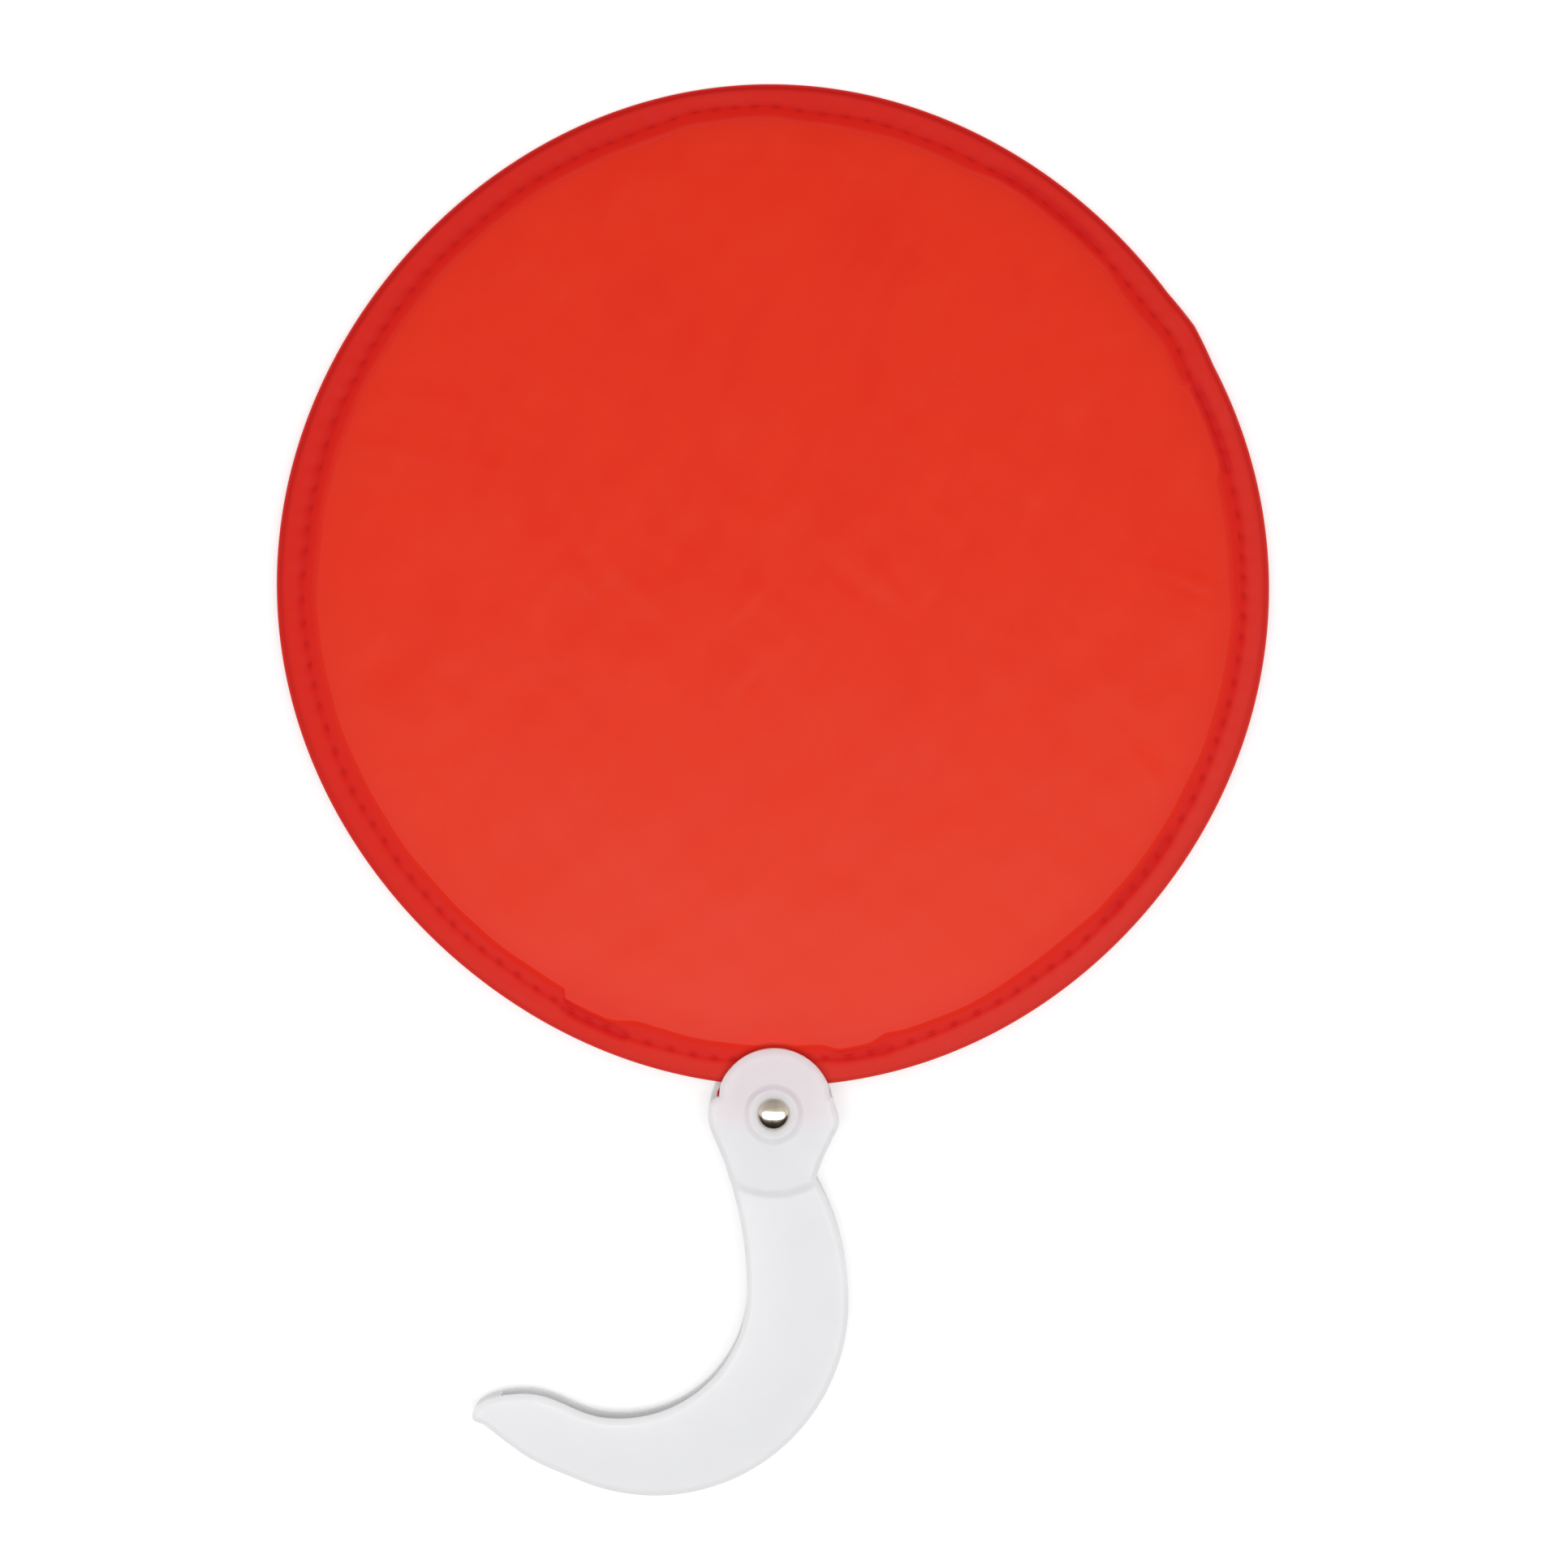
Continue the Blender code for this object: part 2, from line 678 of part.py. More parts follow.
def make_front_shell(parent):
    """The front half: a plate with a raised head, the outer wall down to the seam, a boss inside
    and a stepped seat for the rivet's head outside."""
    seam = mid_height + fit_gap / 2
    material = make_material("front_plastic", shell_white, 0.42)
    grip = prism(front_grip_outline(), seam, handle_depth, rounded=handle_depth)
    shell = make_object("handle_front_shell", grip, parent, material)
    head = prism(head_outline(), front_inner - plate_thickness, pad_height, rounded=pad_height)
    shape(shell, "UNION", make_object("front_head_guide", head, parent))
    channel = prism(inside_outline(wall_thickness), 0, front_inner)
    shape(shell, "DIFFERENCE", make_object("front_channel_guide", channel, parent))
    skin = wall_thickness - lip_thickness - fit_gap
    rebate = prism(inside_outline(skin), 0, mid_height + lip_height + fit_gap)
    shape(shell, "DIFFERENCE", make_object("front_rebate_guide", rebate, parent))
    boss_low = mid_height + boss_clear
    boss_high = front_inner + plate_thickness / 2
    boss = turned([(0, boss_low), (boss_radius, boss_low), (boss_radius, boss_high), (0, boss_high)])
    shape(shell, "UNION", make_object("front_boss_guide", boss, parent))
    recess_floor = pad_height - recess_depth
    above = pad_height + plate_thickness
    seat = turned([(0, mid_height), (bore_radius, mid_height), (bore_radius, dish_floor),
                   (head_radius + fit_gap, dish_floor), (dish_radius, recess_floor),
                   (recess_radius, recess_floor), (recess_radius, above), (0, above)])
    shape(shell, "DIFFERENCE", make_object("front_seat_guide", seat, parent))
    return shell


def make_rivet(parent):
    """The semi-tubular rivet: a low dome in front, and a rolled clinch with an open pit behind."""
    rim_low = dish_floor + fit_gap
    rim_high = rim_low + head_rim
    dome = []
    for i in range(dome_steps):
        share = math.pi / 2 * i / dome_steps
        dome.append((head_radius * math.cos(share), rim_high + dome_height * math.sin(share)))
    dome.append((0, rim_high + dome_height))
    clinch_high = clinch_standoff + clinch_thickness
    roll = clinch_thickness / 3
    profile = [(0, pit_depth), (pit_radius, pit_depth - pit_radius / 2), (pit_radius, clinch_standoff + roll),
               (pit_radius + roll, clinch_standoff), (clinch_radius - roll, clinch_standoff),
               (clinch_radius, clinch_standoff + roll), (clinch_radius - roll, clinch_high),
               (shank_radius, clinch_high), (shank_radius, rim_low), (head_radius, rim_low)] + dome
    material = make_material("rivet_metal", rivet_silver, 0.18, 1.0)
    return make_object("rivet", turned(profile), parent, material)


def make_washer(parent):
    """The washer that the clinch bears on."""
    high = washer_low + washer_thickness
    ring = [(bore_radius, washer_low), (washer_radius, washer_low), (washer_radius, high),
            (bore_radius, high), (bore_radius, washer_low)]
    material = make_material("washer_metal", washer_grey, 0.3, 1.0)
    return make_object("rivet_washer", turned(ring), parent, material)


def placement():
    """Where the rivet's axis stands, so that the fan's outline is centred on the origin."""
    edge = [on_disc(a, 0, 0) for a in ring_angles()]
    left = min(min(p.x for p in edge), tip_point().x)
    right = max(p.x for p in edge)
    top = max(p.y for p in edge) * math.cos(droop_angle())
    bottom = -hook_drop - hook_radius
    return Vector((-(left + right) / 2, -(top + bottom) / 2, 0))


def build_fan():
    """The whole fan: the handle's pieces on one empty, the disc's on another at the rivet."""
    clear_scene()
    handle = make_empty("handle_frame", placement())
    disc = make_empty("disc_frame", (0, 0, mid_height), handle)
    disc.rotation_euler = (-droop_angle(), 0, 0)
    make_rear_shell(handle)
    make_front_shell(handle)
    make_rivet(handle)
    make_washer(handle)
    make_panel(disc)
    make_binding(disc)
    make_wire(disc)
    make_sleeve(disc)
    make_tab(disc)
    print("rivet axis at", tuple(handle.location), "droop in degrees", math.degrees(droop_angle()))


build_fan()
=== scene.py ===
import math

import bmesh
import bpy
import numpy as np
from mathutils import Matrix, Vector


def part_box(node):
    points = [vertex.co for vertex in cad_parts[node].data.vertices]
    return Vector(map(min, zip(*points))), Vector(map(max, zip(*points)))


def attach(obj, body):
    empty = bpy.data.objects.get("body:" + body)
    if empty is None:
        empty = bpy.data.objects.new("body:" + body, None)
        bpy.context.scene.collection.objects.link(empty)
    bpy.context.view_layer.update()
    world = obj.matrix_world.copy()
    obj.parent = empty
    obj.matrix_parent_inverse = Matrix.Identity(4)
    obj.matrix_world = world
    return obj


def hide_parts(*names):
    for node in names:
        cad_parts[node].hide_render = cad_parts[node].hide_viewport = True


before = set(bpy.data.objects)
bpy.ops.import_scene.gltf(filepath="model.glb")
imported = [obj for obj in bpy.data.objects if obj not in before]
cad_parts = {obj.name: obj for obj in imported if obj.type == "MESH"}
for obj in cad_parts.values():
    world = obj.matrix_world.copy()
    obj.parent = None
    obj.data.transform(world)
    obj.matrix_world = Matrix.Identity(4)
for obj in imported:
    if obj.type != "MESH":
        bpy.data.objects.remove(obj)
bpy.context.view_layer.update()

# A folding hand fan: a red fabric disc on a sprung hoop, riveted to a white hooked handle.
# Lengths are in metres, angles round the disc in degrees anticlockwise from +X, seen from above.
mm = 0.001
tau = 2 * math.pi


# Where the disc lies: it is drawn flat from the rivet, then drooped until its far edge rests
disc = dict(
    radius=123.96 * mm,
    lobes=((2, 0.82 * mm, -70.4), (3, 0.18 * mm, -50.0), (4, 0.70 * mm, 2.3)),  # count, height, angle
    cornerHeight=0.8 * mm, cornerAngle=31.5, cornerSpread=5.0,
    hemToRivet=6.55 * mm, midHeight=4.1 * mm, beadRadius=1.35 * mm, sleeveBeadRadius=1.95 * mm,
    sleeveHalf=3.9, sleevePast=1.6, sleeveTaper=3.7,  # half length, level stretch past it and taper, in degrees
)
rivetLow, rivetHigh = (np.array(corner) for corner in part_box("rivet"))
rivetAxis = (rivetLow + rivetHigh) / 2


def wrapped(degrees):
    # an angle brought between -180 and 180
    return (degrees + 180) % 360 - 180


def eased(share):
    # 0 to 1 with a level start and end: 3 s^2 - 2 s^3
    share = np.clip(share, 0, 1)
    return share * share * (3 - 2 * share)


def bump(distance, width):
    # a bell of height 1: exp(-(distance / width)^2)
    return np.exp(-(distance / width) ** 2)


def ripple(degrees, waves):
    # waves round the disc: the sum of height * sin(count * angle + start)
    return sum(height * np.sin(np.radians(degrees * count + start)) for height, count, start in waves)


def hemEdge(degrees):
    # radius of the hem: a circle, plus height * cos(count * (angle - start)) for each lobe, plus a corner
    edge = disc["radius"] + 0 * degrees
    for count, height, start in disc["lobes"]:
        edge = edge + height * np.cos(np.radians(count * (degrees - start)))
    away = np.abs(wrapped(degrees - disc["cornerAngle"])) / disc["cornerSpread"]
    return edge + disc["cornerHeight"] * np.maximum(0, 1 - away)


discRise = disc["hemToRivet"] + float(hemEdge(np.array(-90.0)))
farWire = discRise + float(hemEdge(np.array(90.0))) - disc["beadRadius"]
droop = math.asin((disc["midHeight"] - disc["beadRadius"]) / farWire)


def beadAt(degrees):
    # radius of the round bead along the hem: it swells over the sleeve that joins the wire's ends
    away = np.abs(wrapped(degrees - (disc["cornerAngle"] - disc["sleeveHalf"])))
    share = eased((away - disc["sleeveHalf"] - disc["sleevePast"]) / disc["sleeveTaper"])
    return disc["sleeveBeadRadius"] + (disc["beadRadius"] - disc["sleeveBeadRadius"]) * share


def placed(x, y, z):
    # disc points (from the rivet, z from mid height) turned by the droop about X and moved to the fan
    yy = y * math.cos(droop) + z * math.sin(droop)
    zz = z * math.cos(droop) - y * math.sin(droop)
    return np.stack([x + rivetAxis[0], yy + rivetAxis[1], zz + disc["midHeight"]], axis=-1)


def onDisc(degrees, inward, height):
    # a point at a distance inside the hem's edge: radius = edge(angle) - inward
    radius = hemEdge(degrees) - inward
    angle = np.radians(degrees)
    return placed(radius * np.cos(angle), discRise + radius * np.sin(angle), height + 0 * angle)


# Meshes

def gridPart(points, uv=None, marks=None):
    # one grid of points (rows, columns, 3) as vertices and quads, with corner UVs and point marks
    rows, columns = points.shape[:2]
    i, j = np.meshgrid(np.arange(rows - 1), np.arange(columns - 1), indexing="ij")
    first = (i * columns + j).ravel()
    quads = np.stack([first, first + columns, first + columns + 1, first + 1], axis=-1)
    flatUv = np.zeros((rows * columns, 2)) if uv is None else uv.reshape(-1, 2)
    flatMarks = {name: values.ravel() for name, values in (marks or {}).items()}
    return points.reshape(-1, 3), quads, flatUv, flatMarks


def newObject(name, data):
    thing = bpy.data.objects.new(name, data)
    bpy.context.scene.collection.objects.link(thing)
    return thing


def cleaned(mesh, merge, outward=True):
    # merges points that lie together, which closes seams and poles, and turns the faces outwards
    shell = bmesh.new()
    shell.from_mesh(mesh)
    bmesh.ops.remove_doubles(shell, verts=shell.verts, dist=merge)
    if outward:
        bmesh.ops.recalc_face_normals(shell, faces=shell.faces)
    shell.to_mesh(mesh)
    shell.free()


def smoothed(mesh, sharp):
    mesh.shade_smooth()
    mesh.set_sharp_from_angle(angle=math.radians(sharp))


def makePiece(name, parts, material, sharp=60, merge=1e-7):
    # joins grids into one closed mesh, with its edges sharp past an angle in degrees
    offsets = np.cumsum([0] + [len(part[0]) for part in parts])
    quads = np.concatenate([part[1] + offset for part, offset in zip(parts, offsets)])
    mesh = bpy.data.meshes.new(name)
    mesh.from_pydata(np.concatenate([part[0] for part in parts]), [], quads)
    layer = mesh.uv_layers.new(name="along")
    layer.data.foreach_set("uv", np.concatenate([part[2] for part in parts])[quads.ravel()].ravel())
    for mark in parts[0][3]:
        attribute = mesh.attributes.new(mark, "FLOAT", "POINT")
        attribute.data.foreach_set("value", np.concatenate([part[3][mark] for part in parts]))
    cleaned(mesh, merge)
    smoothed(mesh, sharp)
    mesh.materials.append(material)
    print(name, len(mesh.polygons), "faces")
    return newObject(name, mesh)


def turned(profile, steps=96):
    # a profile (n, 2) of radius and height turned about the rivet's axis
    angle = np.linspace(0, tau, steps + 1)
    radius, height = np.array(profile).T
    x = rivetAxis[0] + radius[:, None] * np.cos(angle)
    y = rivetAxis[1] + radius[:, None] * np.sin(angle)
    return gridPart(np.stack([x, y, height[:, None] + 0 * x], axis=-1))


# Materials: a wrapped socket does arithmetic as Math nodes, and one method adds any other node

def mathNode(operation):
    # a method that joins this socket and others in one Math node
    def join(self, *others):
        return self.finish.node("ShaderNodeMath", dict(operation=operation), dict(enumerate((self, *others))))
    return join


class Socket:
    __add__ = __radd__ = mathNode("ADD")
    __sub__ = mathNode("SUBTRACT")
    __mul__ = __rmul__ = mathNode("MULTIPLY")
    __truediv__ = mathNode("DIVIDE")
    __pow__ = mathNode("POWER")
    sin = mathNode("SINE")
    larger = mathNode("MAXIMUM")
    smaller = mathNode("MINIMUM")

    def __init__(self, finish, out):
        self.finish = finish
        self.out = out

    def __rsub__(self, other):
        return self * -1 + other

    def clipped(self):
        return self.larger(0).smaller(1)


class Finish:
    # the nodes of a material or of the world, with the shader that they feed
    def __init__(self, owner, shader, **fixed):
        owner.use_nodes = True
        self.material = owner
        self.tree = owner.node_tree
        self.shader = self.tree.nodes[shader]
        for socket, value in fixed.items():
            self.shader.inputs[socket.replace("_", " ")].default_value = value

    def node(self, kind, settings=None, sockets=None, give=0):
        node = self.tree.nodes.new(kind)
        for name, value in (settings or {}).items():
            if name == "stops":
                ramp = node.color_ramp
                while len(ramp.elements) < len(value):
                    ramp.elements.new(0.5)
                for element, (position, colour) in zip(ramp.elements, value):
                    element.position = position
                    element.color = (*colour, 1)
            else:
                setattr(node, name, value)
        for key, value in (sockets or {}).items():
            if isinstance(value, Socket):
                self.tree.links.new(value.out, node.inputs[key])
            else:
                node.inputs[key].default_value = value
        return Socket(self, node.outputs[give])

    def feed(self, name, value):
        self.tree.links.new(value.out, self.shader.inputs[name])

    def place(self):
        return self.node("ShaderNodeTexCoord", give="Object")

    def mark(self, name):
        return self.node("ShaderNodeAttribute", dict(attribute_name=name), give="Fac")

    def parts(self, vector):
        split = self.node("ShaderNodeSeparateXYZ", None, {0: vector})
        return [Socket(self, out) for out in split.out.node.outputs]

    def alongPiece(self):
        return self.parts(self.node("ShaderNodeUVMap", dict(uv_map="along")))

    def noise(self, scale, detail, vector=None):
        values = dict(Scale=scale, Detail=detail, Roughness=0.5, Vector=vector or self.place())
        return self.node("ShaderNodeTexNoise", None, values, "Fac")

    def mix(self, share, first, second):
        colours = [value if isinstance(value, Socket) else (*value, 1) for value in (first, second)]
        return self.node("ShaderNodeMix", dict(data_type="RGBA"), {0: share, 6: colours[0], 7: colours[1]}, 2)

    def raised(self, height, distance, strength):
        values = dict(Height=height, Distance=distance, Strength=strength)
        self.feed("Normal", self.node("ShaderNodeBump", None, values, "Normal"))


def surface(name, **fixed):
    return Finish(bpy.data.materials.new(name), "Principled BSDF", **fixed)


def deeper(colour, share):
    return tuple(share * value for value in colour)


def weave(across, along, pitch):
    # plain weave: warp and weft are two sets of round threads, each on top in every other square
    warp = (across * (tau / pitch)).sin()
    weft = (along * (tau / pitch)).sin()
    over = (across * (tau / pitch / 2)).sin() * (along * (tau / pitch / 2)).sin()
    return warp * warp * 0.4 + weft * weft * 0.4 + over * 0.2


# Colours and threads of the cloth. Noises are scale and detail, gloss is the least roughness and its spread,
# rise is the threads' height and how strongly it shows
# the low red is a painted sheen, paler towards the handle; the edge red is painted shade along the hem
fieldLook = dict(
    deep=(0.785, 0.021, 0.001), pale=(0.815, 0.030, 0.003), low=(0.785, 0.038, 0.010), sheenShare=0.8,
    edge=(0.745, 0.021, 0.004), slant=64, drawn=(0.3, 1.5), streaks=(60, 2), clouds=(28, 3), patches=(150, 2),
    middle=0.37, contrast=3.2, gloss=(0.38, 0.14), pitch=0.42 * mm, rise=(0.012 * mm, 0.6),
)
# the tape's colours: plain red, a paler red for the casing's painted sheen, and deeper reds for painted shade
# at the stitches and the outer rim
tapeLook = dict(
    plain=(0.69, 0.0095, 0.002), casing=(0.68, 0.030, 0.018), stitched=(0.60, 0.0015, 0.0005),
    rim=(0.53, 0.003, 0.001), fade=fieldLook["edge"], clouds=(90, 2), gloss=(0.38, 0.2), pitch=0.36 * mm,
    rise=(0.015 * mm, 0.7),
)
threadLook = dict(colour=(0.67, 0.010, 0.004), deep=0.88, rise=(0.015 * mm, 0.5))
tabLook = dict(colour=(0.56, 0.010, 0.006), deep=0.8, clouds=(260, 2), pitch=0.5 * mm, rise=(0.03 * mm, 0.7))


def makeFieldFinish():
    # taffeta: cloudy between two reds, with a painted sheen that makes it paler towards the handle and painted
    # shade that makes it deeper along the hem
    look = fieldLook
    finish = surface("panelTaffeta", Roughness=0.46, IOR=1.46, Specular_IOR_Level=0.23, Sheen_Weight=0.05,
                     Sheen_Roughness=0.4)
    x, y, _ = finish.parts(finish.place())
    # the streaks are noise drawn out along the cloth's slant
    slant = math.radians(look["slant"])
    drawnAlong, drawnAcross = look["drawn"]
    along = (x * math.cos(slant) + y * math.sin(slant)) * drawnAlong
    across = (y * math.cos(slant) - x * math.sin(slant)) * drawnAcross
    streaks = finish.noise(*look["streaks"], finish.node("ShaderNodeCombineXYZ", None, {0: along, 1: across}))
    cloudy = finish.noise(*look["clouds"])
    share = cloudy * 0.3 + streaks * 0.4 + finish.noise(*look["patches"]) * 0.3
    red = finish.mix(((share - look["middle"]) * look["contrast"]).clipped(), look["deep"], look["pale"])
    # painted sheen: the field grows paler towards the handle
    low = ((y - float(rivetAxis[1] + discRise)) / (-disc["radius"])).clipped()
    red = finish.mix(low * look["sheenShare"], red, look["low"])
    # painted shade: the field deepens along the hem
    finish.feed("Base Color", finish.mix(finish.mark("rimward"), red, look["edge"]))
    finish.feed("Roughness", cloudy * look["gloss"][1] + look["gloss"][0])
    finish.raised(weave(x, y, look["pitch"]), *look["rise"])
    return finish.material


def makeTapeFinish():
    # the marks lay on the casing's dull red, which is a painted sheen, the field's painted-shade red at the
    # folded edge, and painted shade at the dark rim and in the stitching
    look = tapeLook
    finish = surface("hemTape", IOR=1.46, Specular_IOR_Level=0.17)
    along, across, _ = finish.alongPiece()
    tint = look["plain"]
    for mark, colour in dict(casing="casing", fade="fade", rim="rim", pinch="stitched").items():
        tint = finish.mix(finish.mark(mark).clipped(), tint, look[colour])
    finish.feed("Base Color", tint)
    finish.feed("Roughness", finish.noise(*look["clouds"]) * look["gloss"][1] + look["gloss"][0])
    finish.raised(weave(along, across, look["pitch"]), *look["rise"])
    return finish.material


def makeThreadFinish():
    # twisted thread: its strands are stripes of sin(2 pi (along + around))
    look = threadLook
    finish = surface("sewingThread", Roughness=0.62, Specular_IOR_Level=0.25, Sheen_Weight=0.05)
    along, around, _ = finish.alongPiece()
    twist = ((along + around) * tau).sin()
    deep = deeper(look["colour"], look["deep"])
    finish.feed("Base Color", finish.mix(twist * 0.5 + 0.5, deep, look["colour"]))
    finish.raised(twist, *look["rise"])
    return finish.material


def makeTabFinish():
    look = tabLook
    finish = surface("tabTape", Roughness=0.62, IOR=1.46, Specular_IOR_Level=0.25, Sheen_Weight=0.05)
    x, y, _ = finish.parts(finish.place())
    deep = deeper(look["colour"], look["deep"])
    finish.feed("Base Color", finish.mix(finish.noise(*look["clouds"]), deep, look["colour"]))
    finish.raised(weave(x, y, look["pitch"]), *look["rise"])
    return finish.material


# blush, seat and slotFaces are painted light: the red tab showing through, and paler plastic round the rivet
# and inside the slot
plasticLook = dict(
    colour=(0.772, 0.770, 0.784), scatter=3.0 * mm, cloudShare=0.25,
    blush=(0.740, 0.674, 0.702), blushReach=20.5 * mm, blushRise=6.5 * mm, blushGain=1.7,
    seat=(0.83, 0.825, 0.83), seatReach=6.3 * mm, slotFaces=(0.95, 0.95, 0.96),
    padLow=(0.735, 0.733, 0.747), padDrop=6 * mm, padReach=21 * mm, padSoft=3 * mm,
    clouds=(70, 2), worn=(160, 3), gloss=(0.32, 0.16), grain=(5200, 2), rise=(0.006 * mm, 0.5),
)
metalLook = dict(worn=(900, 3), deep=0.82, glossSpread=0.06, rise=(0.001 * mm, 0.25))


def makePlasticFinish(name, blush):
    # moulded plastic with a fine grain: a faint painted blush where the red tab's light shows through, a shade
    # greyer on the pad below the rivet, and painted light, paler where light soaks through, on the boss under
    # the rivet and inside the slot
    look = plasticLook
    finish = surface(name, Roughness=0.4, IOR=1.49, Subsurface_Weight=1.0, Subsurface_Scale=look["scatter"],
                     Subsurface_Radius=(1.0, 0.95, 0.95))
    x, y, _ = finish.parts(finish.place())
    dx = x - float(rivetAxis[0])
    dy = y - (float(rivetAxis[1]) + look["blushRise"])
    away = (dx * dx + dy * dy) ** 0.5
    near = ((1 - away / look["blushReach"]) * look["blushGain"]).clipped()
    down = y - float(rivetAxis[1])
    radius = (dx * dx + down * down) ** 0.5
    seat = (radius / look["seatReach"]).clipped() ** 3
    padLow = (down / -look["padDrop"]).clipped() * ((look["padReach"] - radius) / look["padSoft"]).clipped()
    share = near * blush + (finish.noise(*look["clouds"]) - 0.45) * look["cloudShare"]
    tint = finish.mix(share.clipped(), look["colour"], look["blush"])
    tint = finish.mix(padLow, tint, look["padLow"])
    # painted light: paler round the rivet and inside the slot
    tint = finish.mix(seat, look["seat"], tint)
    finish.feed("Base Color", finish.mix(finish.mark("slotFace"), tint, look["slotFaces"]))
    finish.feed("Roughness", finish.noise(*look["worn"]) * look["gloss"][1] + look["gloss"][0])
    finish.raised(finish.noise(*look["grain"]), *look["rise"])
    return finish.material


def makeMetalFinish(metal):
    # plated or drawn metal: worn patches change its depth and its gloss, over a fine grain
    look = metalLook
    colour, roughness = metal["colour"], metal["roughness"]
    finish = surface(metal["finish"], Roughness=roughness, Metallic=1.0)
    worn = finish.noise(*look["worn"])
    finish.feed("Base Color", finish.mix(worn, deeper(colour, look["deep"]), colour))
    finish.feed("Roughness", worn * (2 * look["glossSpread"]) + (roughness - look["glossSpread"]))
    finish.raised(finish.noise(metal["grain"], 2), *look["rise"])
    return finish.material


# Camera, lamp, room and floor. The camera hangs straight above, so its picture is 391 mm wide at mid height
camera = dict(place=(2.76 * mm, 0.59 * mm, 580 * mm), halfWidth=195.5 * mm, nearest=10 * mm)
studio = dict(
    lampPlace=(0.0, -0.304, 1.2), lampTilt=-14, lampSize=(1.4, 0.30), lampWatts=8.9,
    horizon=1.06, horizonTop=0.5, zenith=0.67, sides=0.72, farTilt=1.2, farDim=0.24,
    gapStops=((0.0, 0), (0.02, 1), (0.415, 1), (0.43, 0)), gapDepth=0.98,
    floorColour=0.72, floorLift=0.38, floorReach=3, floorDrop=0.05 * mm,
)


def makeCamera():
    data = bpy.data.cameras.new("photoCamera")
    data.sensor_fit = "HORIZONTAL"
    data.angle = 2 * math.atan(camera["halfWidth"] / (camera["place"][2] - disc["midHeight"]))
    data.clip_start = camera["nearest"]
    eye = newObject("photoCamera", data)
    eye.location = camera["place"]
    bpy.context.scene.camera = eye


def makeLamp():
    data = bpy.data.lights.new("softStrip", "AREA")
    data.shape = "RECTANGLE"
    data.size, data.size_y = studio["lampSize"]
    data.energy = studio["lampWatts"]
    lamp = newObject("softStrip", data)
    lamp.location = studio["lampPlace"]
    lamp.rotation_euler = (math.radians(studio["lampTilt"]), 0, 0)


def makeWorld():
    # a pale room: white at the horizon and the sides, grey overhead, dimmer on the far side, and one dark
    # gap above the handle's side. Its level follows height z, side x^2 and tilt y / z
    world = bpy.data.worlds.new("paleRoom")
    bpy.context.scene.world = world
    room = Finish(world, "Background", Color=(1, 1, 1, 1))
    x, y, z = room.parts(room.node("ShaderNodeTexCoord", give="Generated"))
    tilt = y / z.larger(0.05)
    stops = [(place, (value,) * 3) for place, value in studio["gapStops"]]
    gap = room.node("ShaderNodeValToRGB", dict(stops=stops), {0: tilt * 0.25 + 0.5})
    lift = (1 - z / studio["horizonTop"]).clipped()
    level = lift * (studio["horizon"] - studio["zenith"]) + studio["zenith"]
    level = level + x * x * (1 - lift) * studio["sides"]
    level = level * (1 - gap * (1 - lift) * studio["gapDepth"])
    level = level * (1 - (tilt * studio["farTilt"]).clipped() * (1 - lift) * studio["farDim"])
    room.feed("Strength", level)


def makeFloor():
    finish = surface("paleFloor", Roughness=1.0, Specular_IOR_Level=0.0, Emission_Color=(1, 1, 1, 1),
                     Base_Color=(*[studio["floorColour"]] * 3, 1))
    rays = finish.node("ShaderNodeLightPath").out.node.outputs
    seen = Socket(finish, rays["Is Camera Ray"])
    for kind in ("Is Glossy Ray", "Is Transmission Ray"):
        seen = seen.larger(Socket(finish, rays[kind]))
    finish.feed("Emission Strength", seen * studio["floorLift"])
    reach = np.linspace(-studio["floorReach"], studio["floorReach"], 13)
    x, y = np.meshgrid(reach, reach, indexing="ij")
    points = np.stack([x, y, 0 * x - studio["floorDrop"]], axis=-1)
    floor = makePiece("floor", [gridPart(points)], finish.material)
    if floor.data.polygons[0].normal.z < 0:
        floor.data.flip_normals()


# Fabric panel: a thin round sheet, pulled flat by the hoop, with slack that shows as low soft wrinkles
panel = dict(
    thickness=0.2 * mm, edgeInward=4.4 * mm, rings=104, ringPower=0.8, spokes=440,
    flat=(239.3 * mm, 242.6 * mm), fadeStart=17 * mm, fadeEnd=10.4 * mm,
    # painted shade on the field along the hem: where it starts, how far it reaches and how deep
    shadeStart=9.9 * mm, shadeReach=4.5 * mm, shade=0.85,
    # long waves: height and length in mm, direction in degrees, phase. Each sways by an angle over a length
    waves=((0.10, 61, 28, 0.4), (0.08, 43, -35, 2.0), (0.06, 29, 64, 4.1), (0.05, 23, 12, 5.2),
           (0.035, 15, -58, 1.1), (0.025, 11, 40, 3.3)),
    sway=(1.4, 31 * mm),
    # folds gathered by the stitching: angle, turn in degrees per mm, width in degrees, reach and height in mm
    gathers=((-1.5, 0.22, 0.75, 16, 0.42), (-4.0, 0.20, 0.6, 13, 0.30), (2.5, 0.30, 0.8, 11, -0.25),
             (155, -0.18, 1.6, 26, 0.26), (162, -0.12, 1.4, 30, 0.24), (168, -0.1, 1.6, 24, -0.2),
             (331, 0.3, 1.2, 22, 0.2), (205, 0.2, 1.3, 18, 0.16)),
    gatherStart=4,
    # creases: middle and spread of x and y, slants and their spread in degrees, least and most sizes in mm
    creases=46, creaseSeed=7, creasePlace=((4, 48), (0, 22)), creaseSlants=(62, -38), creaseSpread=9,
    creaseWidth=(1.5, 2.4), creaseLength=(3, 10), creaseHeight=(0.07, 0.15),
)


